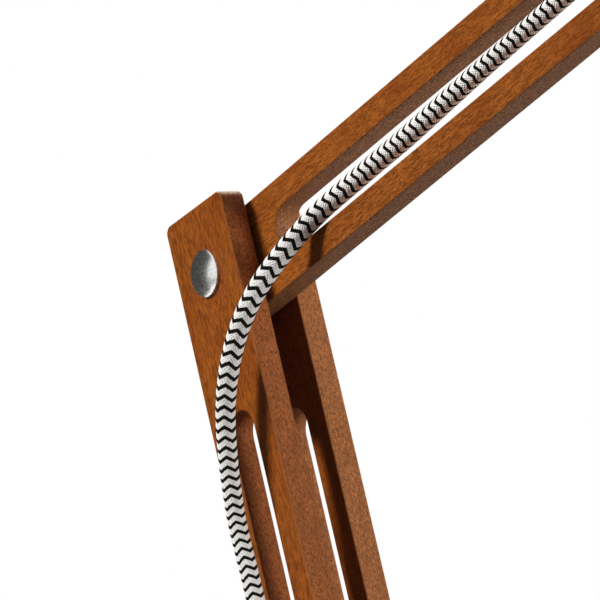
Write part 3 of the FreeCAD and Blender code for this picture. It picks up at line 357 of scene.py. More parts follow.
def speckled(name, tint, roughness, metallic=0.0, scale=900, relief=0.00002, darker=0.85):
    """Finish whose colour, roughness and surface wander a little."""
    material, tree, shader = finish(name, tint, roughness, metallic)
    grains = noise(tree, add(tree, "TexCoord").outputs["Object"], scale, 3, 0.6)
    shown = mixed(tree, step(tree, grains, 0.35, 0.65), tint, darkened(tint, darker))
    tree.links.new(shown, shader.inputs["Base Color"])
    dulled = step(tree, grains, 0.3, 0.7, roughness - WANDER, roughness + WANDER)
    tree.links.new(dulled, shader.inputs["Roughness"])
    bump(tree, shader, grains, relief)
    return material


ZINC = speckled("satin_zinc", (0.88, 0.88, 0.85, 1), 0.29, 1.0, scale=1100, relief=0.00001)
STEEL = speckled("blackened_steel", (0.06, 0.06, 0.065, 1), 0.5, 0.8, scale=300)
ENAMEL = speckled("black_enamel", (0.018, 0.018, 0.019, 1), 0.34, scale=260, relief=0.00004)
ENAMEL_INSIDE = speckled("white_enamel", (0.82, 0.81, 0.78, 1), 0.4, scale=260, relief=0.00004,
                         darker=0.97)
PHENOLIC = speckled("black_phenolic", (0.02, 0.02, 0.021, 1), 0.28, scale=1800, relief=0.00001)
PLASTIC = speckled("black_plastic", (0.026, 0.026, 0.027, 1), 0.55, scale=2600, relief=0.00003)
WHITE_PLASTIC = speckled("white_plastic", (0.8, 0.79, 0.76, 1), 0.42, scale=1500, darker=0.97)
CAP_METAL = speckled("cap_metal", (0.7, 0.68, 0.6, 1), 0.3, 1.0, scale=700)
PIN_METAL = speckled("nickel_pins", (0.68, 0.66, 0.6, 1), 0.25, 1.0, scale=500)
FELT = speckled("felt", (0.035, 0.05, 0.04, 1), 0.95, scale=1200, relief=0.0003, darker=0.5)
OPAL = speckled("opal_glass", (0.88, 0.87, 0.84, 1), 0.3, scale=400, darker=0.98)
for material, socket, value in ((FELT, "Sheen Weight", 0.4), (OPAL, "Subsurface Weight", 0.3),
                                (OPAL, "Subsurface Scale", 0.004)):
    material.node_tree.nodes["Principled BSDF"].inputs[socket].default_value = value
print(len(bpy.data.materials), "finishes")

# %% Give the plain finishes to their pieces
HARDWARE = ("_screws", "_washer", "_washers", "_bolt", "_nut")
assign(ZINC, "head_clevis", *[name for name in NODES if name.endswith(HARDWARE)])
assign(STEEL, "base_weight")
assign(ENAMEL, "socket_cup", "lamp_shade")
assign(PHENOLIC, "lamp_holder", "shade_ring", "switch_lower_half", "switch_upper_half",
       "switch_rocker", "plug_body")
assign(PLASTIC, "cord_clamp", "cord_gland", "switch_cord_guards", "plug_cord_guard")
assign(WHITE_PLASTIC, "bulb_collar")
assign(OPAL, "bulb_globe_glass")
assign(CAP_METAL, "bulb_screw_cap")
assign(PIN_METAL, "plug_pins")
assign(FELT, "base_felt_pad")

# %% [markdown]
# ## Braided textile cord
# The cord is a soft round cable in a braided cotton sleeve, off-white with black zigzag rings.
# Real threads would take hundreds of thousands of faces, so the braid is a pattern with a bump.
# It follows the cord, so it reads a UV map that holds the share of the way round and the number
# of zigzags along. A ping-pong of the way round bends straight rings into a zigzag, and two sets
# of diagonal ribs make the braid.

# %% Cord finish
ZIGZAG_LINE = 0.4
ZIGZAG_COUNT = 4
ZIGZAG_DEPTH = 0.44
LINE_BLUR = 0.03
RIBS_PER_ZIGZAG = 2.5
RIBS_ROUND = 22
COTTON_RELIEF = 0.0001


def ribs(tree, around, along, way):
    """Diagonal ribs that wind one way round the cord."""
    rounds = maths(tree, "MULTIPLY", around, 2 * math.pi * RIBS_ROUND)
    phase = maths(tree, "MULTIPLY_ADD", along, way * 2 * math.pi * RIBS_PER_ZIGZAG, rounds)
    return maths(tree, "SINE", phase)


def braided_cotton():
    """Cotton sleeve with black zigzag rings on off-white."""
    material, tree, shader = finish("braided_cotton", colour(215, 212, 208), 0.9)
    shader.inputs["Specular IOR Level"].default_value = 0.05
    spot = add(tree, "SeparateXYZ", {0: add(tree, "UVMap", uv_map="around_and_along").outputs[0]})
    around, along = spot.outputs[0], spot.outputs[1]
    zigzag = maths(tree, "PINGPONG", maths(tree, "MULTIPLY", around, ZIGZAG_COUNT), 0.5)
    share = maths(tree, "FRACT", maths(tree, "MULTIPLY_ADD", zigzag, 2 * ZIGZAG_DEPTH, along))
    half_line = ZIGZAG_LINE / 2
    line = maths(tree, "PINGPONG", maths(tree, "SUBTRACT", share, half_line), 0.5)
    inked = step(tree, line, half_line - LINE_BLUR, half_line + LINE_BLUR, 1, 0)
    braid = maths(tree, "MAXIMUM", ribs(tree, around, along, 1), ribs(tree, around, along, -1))
    fuzz = noise(tree, add(tree, "TexCoord").outputs["Object"], 3000, 2)
    white = mixed(tree, step(tree, braid, -0.6, 1.0), colour(234, 231, 227), colour(254, 251, 247))
    white = mixed(tree, step(tree, fuzz, 0.4, 0.7, 0, 0.25), white, colour(222, 218, 212))
    black = mixed(tree, step(tree, braid, -0.4, 1.0), colour(10, 9, 7), colour(32, 29, 24))
    tree.links.new(mixed(tree, inked, white, black), shader.inputs["Base Color"])
    bump(tree, shader, maths(tree, "MULTIPLY_ADD", fuzz, 0.5, braid), COTTON_RELIEF)
    return material


COTTON = braided_cotton()
print("zigzags round the cord:", ZIGZAG_COUNT)

# %% [markdown]
# ## Where the cord runs
# The cord comes out of the lamp holder's gland, hangs in a loop to the upper arm's slot, runs
# along that slot, bends over the elbow and down the near cheek, passes between the cheeks to the
# base and goes through a clamp. Straight runs with rounded corners would look like bent wire. A
# short list of points for one NURBS spline bends as smoothly as a real cable.

# %% Route points of the held cord
HELD_ROUTE = [
    ("cord_in_gland", [(217.2, 0, 520.1), (199.8, 0, 515.4), (182.3, 0, 510.75)]),
    ("cord_head_loop", [
        (161.4, -0.8, 505.1), (138.6, -6.5, 510.7), (118.6, -10.5, 519.8), (96.8, -10, 528),
        (76.9, -6, 530.1), (57.3, -1, 524.4), (39.3, -0.5, 515.8)]),
    ("cord_upper", [(21.3, 0, 507.1), (-18.7, 0, 486.5), (-53.6, 0, 467.9), (-68.7, -0.1, 460.6)]),
    ("cord_elbow", [
        (-82.6, -0.9, 453), (-97.4, -5.2, 442.7), (-105.6, -14.3, 428.8), (-111.8, -20.8, 416.1),
        (-118.1, -24.3, 400.1), (-121.1, -25.9, 380.1), (-119, -25.5, 359.4),
        (-117, -25.1, 349.9)]),
    ("cord_lower", [
        (-115.2, -24.6, 340.7), (-106.3, -24.3, 321), (-98.3, -23.8, 299.4), (-87.6, -22.6, 279.9),
        (-79.5, -15.9, 262.9), (-73, -11.1, 245.1), (-57.3, -10.5, 208.4), (-43.8, -10.3, 175.1),
        (-36, -8, 157.5), (-33.8, -5.3, 148.4)]),
    ("cord_base_loop", [
        (-31.5, -2.5, 139), (-31.5, 0, 123), (-33.5, 0, 108), (-38, 0, 93), (-42, 0, 78),
        (-44, 0, 63.5), (-46, 0, 50.5), (-51, 0, 39.5), (-59.2, 0, 31.3), (-70, 0, 27.1),
        (-82.8, 0, 27.1)]),
    ("cord_in_clamp", [(-95, 0, 27.1)]),
]


def smooth_line(points, resolution):
    """Points along a NURBS spline that has the given control points."""
    curve = bpy.data.curves.new("route", "CURVE")
    curve.dimensions = "3D"
    spline = curve.splines.new("NURBS")
    spline.points.add(len(points) - 1)
    for held, point in zip(spline.points, points):
        held.co = (*point, 1)
    spline.order_u = 3
    spline.use_endpoint_u = True
    spline.resolution_u = resolution
    carrier = bpy.data.objects.new("route", curve)
    mesh = bpy.data.meshes.new_from_object(carrier)
    line = [vertex.co.copy() for vertex in mesh.vertices]
    bpy.data.meshes.remove(mesh)
    bpy.data.objects.remove(carrier)
    bpy.data.curves.remove(curve)
    return line


def run_lengths(line):
    """Length from the start of a line to each of its points."""
    total = [0.0]
    for before, after in zip(line, line[1:]):
        total.append(total[-1] + (after - before).length)
    return total


held_line = smooth_line([mm(*point) for _, points in HELD_ROUTE for point in points], 14)
held_lengths = run_lengths(held_line)
print("held cord", round(held_lengths[-1], 3), "m")

# %% [markdown]
# ## From a mesh to a piece
# Every new shape gets its finish, smooth shading with sharp edges kept and the part that it moves
# with, and the construction piece that it stands for is hidden. One function does it, so no piece
# misses a step. Large faces can stay flat, or the rounded edges beside them would shade them like
# a pillow.

# %% Finish a piece
def finished(name, bm, materials, body, replaced=(), smooth=35, flat_over=math.inf):
    """Turn a bmesh into a shaded piece that rides on a body; faces over an area stay flat."""
    mesh = bpy.data.meshes.new(name)
    bm.to_mesh(mesh)
    bm.free()
    for material in materials:
        mesh.materials.append(material)
    mesh.shade_smooth()
    mesh.set_sharp_from_angle(angle=math.radians(smooth))
    for polygon in mesh.polygons:
        polygon.use_smooth = polygon.area < flat_over
    piece = bpy.data.objects.new(name, mesh)
    bpy.context.collection.objects.link(piece)
    if body:
        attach(piece, body)
    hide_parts(*replaced)
    print(name, len(mesh.polygons), "faces")
    return piece


# %% [markdown]
# ## From a line to a tube
# A curve with a round bevel would make the tube too, but without the UV map that the zigzag
# needs. So a ring of vertices is set square on every point of the line and bridged to the one
# before it. The rings turn only as much as the line bends, so the braid doesn't twist, and a
# share of a turn lets the zigzag sit as it does on the real cord.

# %% Square frames along a line
def square_frames(line):
    """One frame for each point of a line, with no twist from one to the next."""
    last = len(line) - 1
    ways = [(line[min(i + 1, last)] - line[max(i - 1, 0)]).normalized() for i in range(last + 1)]
    side = ways[0].orthogonal().normalized()
    frames = []
    for before, way, point in zip([ways[0]] + ways, ways, line):
        side = (before.rotation_difference(way) @ side).normalized()
        side = (side - way * side.dot(way)).normalized()
        axes = Matrix((side, way.cross(side), way)).transposed().to_4x4()
        frames.append(Matrix.Translation(point) @ axes)
    return frames


held_frames = square_frames(held_line)
print(len(held_frames), "frames along the held cord")

# %% Tube through frames
CORD_RADIUS = mm(3.1)
CORD_SIDES = 24
BRAID_TURN = 0.125


def tube(name, frames, counts, body=None, swell=None):
    """Round tube through frames, with its way round and its zigzags in a UV map."""
    bm = bmesh.new()
    rings = []
    seat = {}
    for number, place in enumerate(frames):
        made = bmesh.ops.create_circle(bm, segments=CORD_SIDES, matrix=place,
                                       radius=CORD_RADIUS * (swell[number] if swell else 1))
        for side, vertex in enumerate(made["verts"]):
            seat[vertex] = number, side
        rings.append(list({edge for vertex in made["verts"] for edge in vertex.link_edges}))
    for first, second in zip(rings, rings[1:]):
        bmesh.ops.bridge_loops(bm, edges=first + second)
    bmesh.ops.recalc_face_normals(bm, faces=bm.faces)
    layer = bm.loops.layers.uv.new("around_and_along")
    for face in bm.faces:
        wraps = {seat[vertex][1] for vertex in face.verts} >= {0, CORD_SIDES - 1}
        for loop in face.loops:
            number, side = seat[loop.vert]
            turns = (CORD_SIDES if wraps and side == 0 else side) / CORD_SIDES
            loop[layer].uv = turns + BRAID_TURN, counts[number]
    bmesh.ops.holes_fill(bm, edges=[edge for edge in bm.edges if edge.is_boundary])
    return finished(name, bm, [COTTON], body, smooth=60)


print("cord", 2000 * CORD_RADIUS, "mm thick with", CORD_SIDES, "sides")

# %% [markdown]
# ## Zigzags along the cord
# The sleeve stretches where the cord is pulled tight and swells where it bends over the elbow.
# One number for the zigzags and one for the thickness would look machine-made, so short lists of
# marks give both, with a straight line from one mark to the next.

# %% Zigzag lengths and swelling
# Metres along the cord, with the length of one zigzag or the share of the cord's radius there.
ZIGZAG_PITCH = [(0.0, 0.0038), (0.3, 0.0040), (0.4, 0.0038), (0.44, 0.0031), (0.55, 0.0030),
                (0.62, 0.0025), (0.9, 0.0027)]
SLEEVE = [(0.0, 1.0), (0.24, 1.0), (0.29, 1.1), (0.4, 1.1), (0.46, 1.0)]


def between(place, marks):
    """Value at a place, straight between marks of (place, value)."""
    for (start, low), (stop, high) in zip(marks, marks[1:]):
        if place <= stop:
            return low + (high - low) * (place - start) / (stop - start)
    return marks[-1][1]


def zigzags(lengths, begun=0.0):
    """Number of zigzags from the cord's start to each length."""
    counts = [begun]
    for before, after in zip(lengths, lengths[1:]):
        counts.append(counts[-1] + (after - before) / between(after, ZIGZAG_PITCH))
    return counts


held_zigzags = zigzags(held_lengths)
print(round(held_zigzags[-1]), "zigzags along the held cord")

# %% [markdown]
# ## The held cord in its stretches
# The real cord is one length, but its parts move with different bodies. So one line is cut into
# seven stretches, and the zigzag goes on unbroken. The three that cross a joint ride on no part,
# and the others ride on the part that holds them.

# %% Held cord
RIDES = {"cord_in_gland": "head", "cord_upper": "upper_arm", "cord_lower": "lower_arm",
         "cord_in_clamp": "base"}
BENDS = {"cord_head_loop": ("upper_arm", "head"), "cord_elbow": ("lower_arm", "upper_arm"),
         "cord_base_loop": ("base", "lower_arm")}
start = 0
for stretch, points in HELD_ROUTE:
    corner = mm(*points[-1])
    stop = min(range(start, len(held_line)), key=lambda i: (held_line[i] - corner).length)
    if stretch == "cord_in_clamp":
        stop = len(held_line) - 1
    part = slice(start, stop + 1)
    made = tube(stretch.replace("cord_", "textile_cord_"), held_frames[part], held_zigzags[part],
                RIDES.get(stretch), [between(length, SLEEVE) for length in held_lengths[part]])
    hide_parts(stretch)
    if stretch in BENDS:
        ends = held_line[start], held_line[stop]
        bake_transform(made)
    print(stretch, "from", round(held_lengths[start], 3), "to", round(held_lengths[stop], 3), "m")
    start = stop

# %% [markdown]
# ## The free mains lead
# Behind the clamp the cord drops to the table, passes through the switch and is put away in a
# neat round coil of two layers. It winds inwards on the table, climbs at the inside and winds
# outwards on top, so the plug's end comes off freely. A separate ring for each turn would be
# easy, but a real lead is one length, so the turns are more points of its own spline.

# %% Points of the coil
TIE_THICKNESS = 0.6
COIL_CENTRE = mm(-174.8, 198, 0)
COIL_SWEEP = 1980
TURN_STEP = 360 / 15
# Degrees wound, with the height or the radius of the turn there in mm.
COIL_LAYERS = [(0, 3.1 + TIE_THICKNESS), (920, 3.1 + TIE_THICKNESS), (1020, 9.3 + TIE_THICKNESS),
               (COIL_SWEEP, 9.3 + TIE_THICKNESS)]
COIL_RADII = [(0, 42.2), (300, 42.2), (360, 36), (660, 36), (720, 29.8), (1228, 29.8), (1288, 36),
              (1588, 36), (1648, 42.2), (COIL_SWEEP, 42.2)]


def coil_points():
    """Control points of the coil's turns, clockwise from its left side."""
    points = []
    inside = math.cos(math.radians(TURN_STEP / 2))
    count = round(COIL_SWEEP / TURN_STEP)
    for number in range(1, count):
        turn = number * COIL_SWEEP / count
        radius = between(turn, COIL_RADII) / inside
        angle = math.radians(180 - turn)
        points.append(COIL_CENTRE + mm(radius * math.cos(angle), radius * math.sin(angle),
                                       between(turn, COIL_LAYERS)))
    return points


print("coil of", COIL_SWEEP / 360, "turns")

# %% Free lead with its coil
LEAD_START = [
    (-95, 0, 27.1), (-105, 0, 27.1), (-117.5, 0, 23.9), (-131.5, 0, 15), (-146.5, 0, 6.4),
    (-162.5, 0, 3.1), (-182, 1, 3.1), (-201, 9, 3.1), (-214, 25, 3.1), (-217, 44, 7),
    (-217, 56, 7), (-217, 72, 7), (-217, 104, 7), (-217, 136, 7), (-217, 152, 7), (-217, 161, 7),
    (-217.3, 176, 4.2)]
LEAD_END = [(-132.6, 176, 9.6), (-132.6, 163, 7), (-132.6, 151, 7)]
lead_start, lead_end = [[mm(*point) for point in points] for points in (LEAD_START, LEAD_END)]
free_line = smooth_line(lead_start + coil_points() + lead_end, 8)
free_lengths = run_lengths(free_line)
run_on = [held_lengths[-1] + length for length in free_lengths]
mains_lead = tube("textile_cord_mains_lead", square_frames(free_line),
                  zigzags(run_on, held_zigzags[-1]), "base")
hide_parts("cord_lead", "cord_behind_switch", "cord_coil", "cord_tail")
print("free lead", round(free_lengths[-1], 3), "m")

# %% [markdown]
# ## Turned pieces and soft edges
# Bolts, rings and shades are round. A ready-made cylinder has no dome, rim or bead, so each starts
# as half of its section and is spun about its axis, as on a lathe: a helper draws the section,
# spins it a full turn and merges the seam. Others round edges and carry a shape to its place.

# %% Lathe and section helpers
def lathe(sections, steps):
    """Bmesh of closed or axis-to-axis sections of (radius, height) in mm, spun about Z."""
    bm = bmesh.new()
    for section in sections:
        spots = [bm.verts.new(mm(radius, 0, height)) for radius, height in section]
        closed = section[0][0] > 0 or section[-1][0] > 0
        pairs = zip(spots, spots[1:] + spots[:1]) if closed else zip(spots, spots[1:])
        for one, other in pairs:
            bm.edges.new((one, other))
    bmesh.ops.spin(bm, geom=bm.verts[:] + bm.edges[:], cent=(0, 0, 0), axis=(0, 0, 1),
                   angle=2 * math.pi, steps=steps, use_merge=True)
    bmesh.ops.remove_doubles(bm, verts=bm.verts, dist=1e-6)
    bmesh.ops.recalc_face_normals(bm, faces=bm.faces)
    return bm


def arc(centre, radius, start, stop, steps):
    """Points of a section's arc, from one angle to another, in degrees."""
    turns = [math.radians(start + (stop - start) * i / steps) for i in range(steps + 1)]
    return [(centre[0] + radius * math.cos(turn), centre[1] + radius * math.sin(turn))
            for turn in turns]


print("arc in one step:", arc((0, 0), 10, 0, 90, 1))

# %% Edge and place helpers
SHARP = math.radians(30)


def round_edges(bm, edges, width, steps, clamp=False):
    """Bevel edges by a width in mm."""
    bmesh.ops.bevel(bm, geom=edges, offset=mm(width), offset_type="OFFSET", segments=steps,
                    profile=0.5, affect="EDGES", clamp_overlap=clamp, material=-1)


def soften(bm, width):
    """Round every sharp edge a little."""
    sharp = [edge for edge in bm.edges
             if len(edge.link_faces) == 2 and edge.calc_face_angle() > SHARP]
    round_edges(bm, sharp, width, 2, clamp=True)
    return bm


def moved(bm, matrix):
    """The same bmesh at another place."""
    bmesh.ops.transform(bm, matrix=matrix, verts=bm.verts)
    return bm


def new_corners(made):
    """Vertices among the parts that an extrusion made."""
    return [part for part in made["geom"] if isinstance(part, bmesh.types.BMVert)]


def joined(*parts):
    """One bmesh that holds several others."""
    whole = bmesh.new()
    for part in parts:
        carrier = bpy.data.meshes.new("part")
        part.to_mesh(carrier)
        part.free()
        whole.from_mesh(carrier)
        bpy.data.meshes.remove(carrier)
    return whole


print("edges over", round(math.degrees(SHARP)), "degrees count as sharp")

# %% [markdown]
# ## Hinge bolts
# Each hinge has a carriage bolt: a shallow dome with a thin standing rim, and a threaded end that
# stands out of the wing nut. Its square neck is hidden in the wood, so it is left out. The dome
# is an arc. A thread could be a helix, but at this size a row of small ridges in the section
# looks the same and stays one closed surface.

# %% Bolts
HEAD_RADIUS = 8.0
DOME_RADIUS = 13.2
RIM_HEIGHT = 1.2
RIM_ROUNDING = 0.15
SHANK_RADIUS = 3.0
THREAD_ROOT = 2.6
THREAD_LENGTH = 14
THREAD_PITCH = 1.0
TIP_LENGTH = 1.2
TIP_RADIUS = 2.4


def dome_section():
    """Bolt head from the top of its dome to the shank."""
    rise = math.degrees(math.asin(HEAD_RADIUS / DOME_RADIUS))
    centre_height = RIM_HEIGHT - DOME_RADIUS * math.cos(math.radians(rise))
    dome = arc((0, centre_height), DOME_RADIUS, 90, 90 - rise, 12)
    top = (0, dome[0][1])
    return [top] + dome[1:-1] + [
        (HEAD_RADIUS - RIM_ROUNDING, RIM_HEIGHT + 0.05), (HEAD_RADIUS, RIM_HEIGHT - RIM_ROUNDING),
        (HEAD_RADIUS, 0.0), (SHANK_RADIUS, 0.0)]


def carriage_bolt(name, node, pivot, seat, reach, angle, body):
    """Bolt whose head sits at a distance before the pivot; reach is its shank's length, in mm."""
    ridges = []
    depth = -reach + THREAD_LENGTH
    while depth > -reach + TIP_LENGTH:
        ridges += [(SHANK_RADIUS, depth), (THREAD_ROOT, depth - THREAD_PITCH / 2)]
        depth -= THREAD_PITCH
    bm = lathe([dome_section() + ridges + [(TIP_RADIUS, -reach), (0, -reach)]], 72)
    moved(bm, placed(Vector((pivot.x, -mm(seat), pivot.z)), angle, 90))
    return finished(name, bm, [ZINC], body, [node])


for name, node, *where in (
        ("base_hinge_bolt", "base_pivot_bolt", BASE_PIVOT, 15.0, 43.6, LOWER_ANGLE, "lower_arm"),
        ("elbow_hinge_bolt", "elbow_bolt", ELBOW, 15.0, 43.6, LOWER_ANGLE, "lower_arm"),
        ("head_hinge_bolt", "head_pivot_bolt", HEAD_PIVOT, 8.0, 29.6, HEAD_ANGLE, "head")):
    carriage_bolt(name, node, *where)

# %% [markdown]
# ## Wing nuts
# A cast wing nut is a tapered boss with two upswept wings. Its soft shape could be sculpted, but
# then its two wings would hardly match. Here one wing is a sketch that is extruded to its
# thickness and has its far corners rounded, and its twin is turned half way round.

# %% Wing nuts
BOSS = [(3.05, 0), (6.4, 0), (5.12, 9), (3.05, 9)]
WING = [(4, 1), (7.4, 1), (17, 10.5), (16, 15), (12, 15), (4, 7.2)]
WING_THICKNESS = 3
ROUNDED_ABOVE = 10


def slab(outline, thickness):
    """Plate with a sketched outline in its XZ plane, as thick on both sides of that plane."""
    bm = bmesh.new()
    face = bm.faces.new([bm.verts.new(mm(x, -thickness / 2, z)) for x, z in outline])
    raised = bmesh.ops.extrude_face_region(bm, geom=[face])
    bmesh.ops.translate(bm, vec=mm(0, thickness, 0), verts=new_corners(raised))
    bmesh.ops.recalc_face_normals(bm, faces=bm.faces)
    return bm


def wing():
    """One wing whose far corners are rounded."""
    bm = slab(WING, WING_THICKNESS)
    corners = [edge for edge in bm.edges
               if all(vertex.co.z > mm(ROUNDED_ABOVE) for vertex in edge.verts)
               and abs(edge.verts[0].co.y - edge.verts[1].co.y) > mm(2)]
    round_edges(bm, corners, 1.6, 4)
    return soften(bm, 0.5)


def wing_nut(name, node, pivot, foot, angle, body):
    """Wing nut that stands on the washer behind a pivot, at a foot distance in mm."""
    boss = soften(lathe([BOSS], 48), 0.5)
    wings = [moved(wing(), Matrix.Rotation(math.radians(turn), 4, "Z")) for turn in (0, 180)]
    bm = moved(joined(boss, *wings), placed(Vector((pivot.x, mm(foot), pivot.z)), angle, -90))
    return finished(name, bm, [ZINC], body, [node])


wing_nut("base_hinge_wing_nut", "base_pivot_wing_nut", BASE_PIVOT, 16.6, LOWER_ANGLE,
         "base_wing_nut")
wing_nut("elbow_hinge_wing_nut", "elbow_wing_nut", ELBOW, 16.6, math.radians(38), "elbow_wing_nut")
wing_nut("head_hinge_wing_nut", "head_pivot_wing_nut", HEAD_PIVOT, 9.6, HEAD_ANGLE,
         "head_wing_nut")

# %% [markdown]
# ## Shade
# The shade is spun from one sheet. A surface with a Solidify modifier would have a wall too, but
# its own section gives the wall and the mouth's rolled bead at once. The bends at neck and
# shoulder are bevelled soft. Enamel is black outside and white inside, so each face takes its
# colour by the side that it looks to.

# %% Shade
HEAD_PLACE = placed(HEAD_PIVOT, HEAD_ANGLE)
WALL = [(19.55, -107.2), (19.55, -106), (27, -106), (40, -114), (85, -212), (83.56, -212),
        (38.8, -115.2), (26.4, -107.2)]
WHITE_WITHIN = 83.2


def ring_edges(bm, smallest, largest):
    """Edges that run round the axis between two radii in mm."""
    return [edge for edge in bm.edges
            if abs(edge.verts[0].co.z - edge.verts[1].co.z) < 1e-6
            and all(mm(smallest) < vertex.co.xy.length < mm(largest) for vertex in edge.verts)]


bm = lathe([WALL, arc((85, -212), 1.6, 0, 337.5, 15)], 96)
round_edges(bm, ring_edges(bm, 26, 41), 3, 4)
for face in bm.faces:
    middle = face.calc_center_median()
    outwards = face.normal.dot(Vector((middle.x, middle.y, 0)).normalized()) + face.normal.z
    face.material_index = 1 if outwards < 0 and middle.xy.length < mm(WHITE_WITHIN) else 0
finished("spun_lamp_shade", moved(bm, HEAD_PLACE), [ENAMEL, ENAMEL_INSIDE], "head",
         ["lamp_shade"])

# %% [markdown]
# ## Shade ring
# The ring that clamps the shade has grooves all round for the fingers. They could be cut with
# many small boxes, but sinking every second face of its outside does the same in one step.

# %% Shade ring
RING = [(19.55, -113.2), (25.5, -113.2), (25.5, -107.2), (19.55, -107.2)]
GROOVE_MARGIN, GROOVE_DEPTH = 0.25, 0.7
bm = lathe([RING], 96)
sides = [face for face in bm.faces if face.calc_center_median().xy.length > mm(25)]
sides.sort(key=lambda face: math.atan2(*face.calc_center_median().xy))
bmesh.ops.inset_individual(bm, faces=sides[::2], thickness=mm(GROOVE_MARGIN),
                           depth=-mm(GROOVE_DEPTH))
finished("grooved_shade_ring", moved(bm, HEAD_PLACE), [PHENOLIC], "head",
         ["shade_ring"], smooth=20)

# %% [markdown]
# ## Cord guards and gland
# Where the cord enters the switch, the plug and the lamp holder, a soft tapered guard keeps it
# from kinking. The grooves that let it bend could be a bump in the finish, but they show in its
# outline, so they are drawn in the section.

# %% Guards and gland
SWITCH_X, SWITCH_Y, SWITCH_REACH = -217, 104, 32
PLUG_X, PLUG_FRONT, PLUG_BACK = -132.6, 93, 127
CORD_HEIGHT = 7


def grooved(length, foot, tip, start=3.0, pitch=2.6, depth=0.8):
    """Tapered section with grooves, from its foot to its rounded tip."""
    def outside(height):
        return foot + (tip - foot) * (height - start) / (length - start)

    section = [(foot, 0)]
    height = start
    while height + pitch < length:
        for ahead, drop in ((0, 0), (0.3, depth), (1.2, depth), (1.5, 0)):
            section.append((outside(height + ahead) - drop, height + ahead))
        height += pitch
    return section + [(tip, length - 0.5), (tip - 0.5, length)]


def along_y(way, *point):
    """Frame at a point in mm whose Z runs along +Y or -Y."""
    return Matrix.Translation(mm(*point)) @ Matrix.Rotation(math.radians(-90 * way), 4, "X")


def guard(name, bm, node, body="base"):
    """Black plastic piece that stands for a construction piece."""
    finished(name, bm, [PLASTIC], body, [node])


ends = [moved(lathe([[(0, 0)] + grooved(16, 6, 4) + [(0, 16)]], 48),
              along_y(way, SWITCH_X, SWITCH_Y + way * SWITCH_REACH, CORD_HEIGHT))
        for way in (1, -1)]
guard("switch_strain_reliefs", joined(*ends), "switch_cord_guards")
bm = lathe([[(0, 0)] + grooved(24, 6, 4) + [(0, 24)]], 48)
moved(bm, along_y(1, PLUG_X, PLUG_BACK, CORD_HEIGHT))
guard("plug_strain_relief", bm, "plug_cord_guard")
bm = lathe([[(3.2, -4.4), (5, -4.4), (5, 0)] + grooved(27, 7, 4.2, 5.0, 2.9) + [(3.2, 27)]], 48)
gland_place = (HEAD_PLACE @ Matrix.Translation(mm(-23, 0, -76))
               @ Matrix.Rotation(math.radians(-90), 4, "Y"))
guard("holder_cord_gland", moved(bm, gland_place), "cord_gland", "head")

# %% [markdown]
# ## Clamp screws
# Each clamp screw has a domed head with a slot. A boolean could cut the slot but often leaves
# untidy faces. Splitting the dome along two lines and sinking the strip between them keeps the
# mesh clean.

# %% Clamp screws
SLOT_HALF = 0.45
SLOT_DEPTH = 0.8
SCREW_TURN = math.radians(35)


def slotted_screw(foot, shank):
    """Screw whose head sits on a foot point; the shank goes down."""
    dome = [(0, 2.4)] + arc((0, -3.2), 5.6, 90, 60, 6)[1:]
    bm = lathe([dome + [(2.8, 0), (1.5, 0), (1.5, -shank), (0, -shank)]], 32)
    for side in (SLOT_HALF, -SLOT_HALF):
        bmesh.ops.bisect_plane(bm, geom=bm.verts[:] + bm.edges[:] + bm.faces[:],
                               plane_co=mm(0, side, 0), plane_no=(0, 1, 0))
    strip = [face for face in bm.faces if abs(face.calc_center_median().y) < mm(SLOT_HALF - 0.01)
             and face.calc_center_median().z > mm(1.8) and face.normal.z > 0.5]
    sunk = bmesh.ops.extrude_face_region(bm, geom=strip)
    bmesh.ops.translate(bm, vec=mm(0, 0, -SLOT_DEPTH), verts=new_corners(sunk))
    return moved(bm, Matrix.Translation(mm(*foot)) @ Matrix.Rotation(SCREW_TURN, 4, "Z"))


screws = joined(*[slotted_screw((-89, side, 33), 17) for side in (-10, 10)])
finished("clamp_slotted_screws", screws, [ZINC], "base", ["clamp_screws"], smooth=30)

# %% [markdown]
# ## Plug pins
# The plug's two pins are round with domed ends. A plain cylinder would have a hard rim, so they
# are turned on the lathe with a quarter arc at the end.

# %% Plug pins
PIN = [(0, -6), (2, -6), (2, 18.2)] + arc((1.2, 18.2), 0.8, 0, 90, 4)[1:] + [(0, 19)]
PIN_SPACING = 18.6
pins = [moved(lathe([PIN], 32), along_y(-1, PLUG_X + side * PIN_SPACING / 2, PLUG_FRONT,
                                        CORD_HEIGHT)) for side in (-1, 1)]
finished("plug_round_pins", joined(*pins), [PIN_METAL], "base", ["plug_pins"])

# %% [markdown]
# ## Rounded edges
# Sanded planks and moulded plastic have no sharp edges. A Bevel modifier can't work on the
# construction meshes, because they are loose triangles. So these copies have their doubled
# vertices merged and their flat triangles joined, and then their real edges are rounded.

# %% Rounded copies
def softened(name, node, width, material=PHENOLIC, body="base"):
    """Copy of a construction piece with its edges rounded by a width in mm."""
    bm = bmesh.new()
    bm.from_mesh(NODES[node].data)
    bm.transform(NODES[node].matrix_world)
    bmesh.ops.remove_doubles(bm, verts=bm.verts, dist=1e-5)
    bmesh.ops.dissolve_limit(bm, angle_limit=math.radians(1), verts=bm.verts, edges=bm.edges)
    return finished(name, soften(bm, width), [material], body, [node], smooth=40,
                    flat_over=4e-5)


softened("near_cheek_plank", "lower_cheek_near", 0.7, near_wood, "lower_arm")
softened("far_cheek_plank", "lower_cheek_far", 0.7, far_wood, "lower_arm")
softened("upper_arm_slotted_plank", "upper_arm_plank", 0.7, upper_wood, "upper_arm")
softened("switch_base_shell", "switch_lower_half", 0.5)
softened("switch_cover_shell", "switch_upper_half", 0.6)
softened("switch_rocker_button", "switch_rocker", 0.5, body="switch_rocker")
softened("plug_housing", "plug_body", 0.8)
softened("cord_saddle_clamp", "cord_clamp", 0.6, PLASTIC)

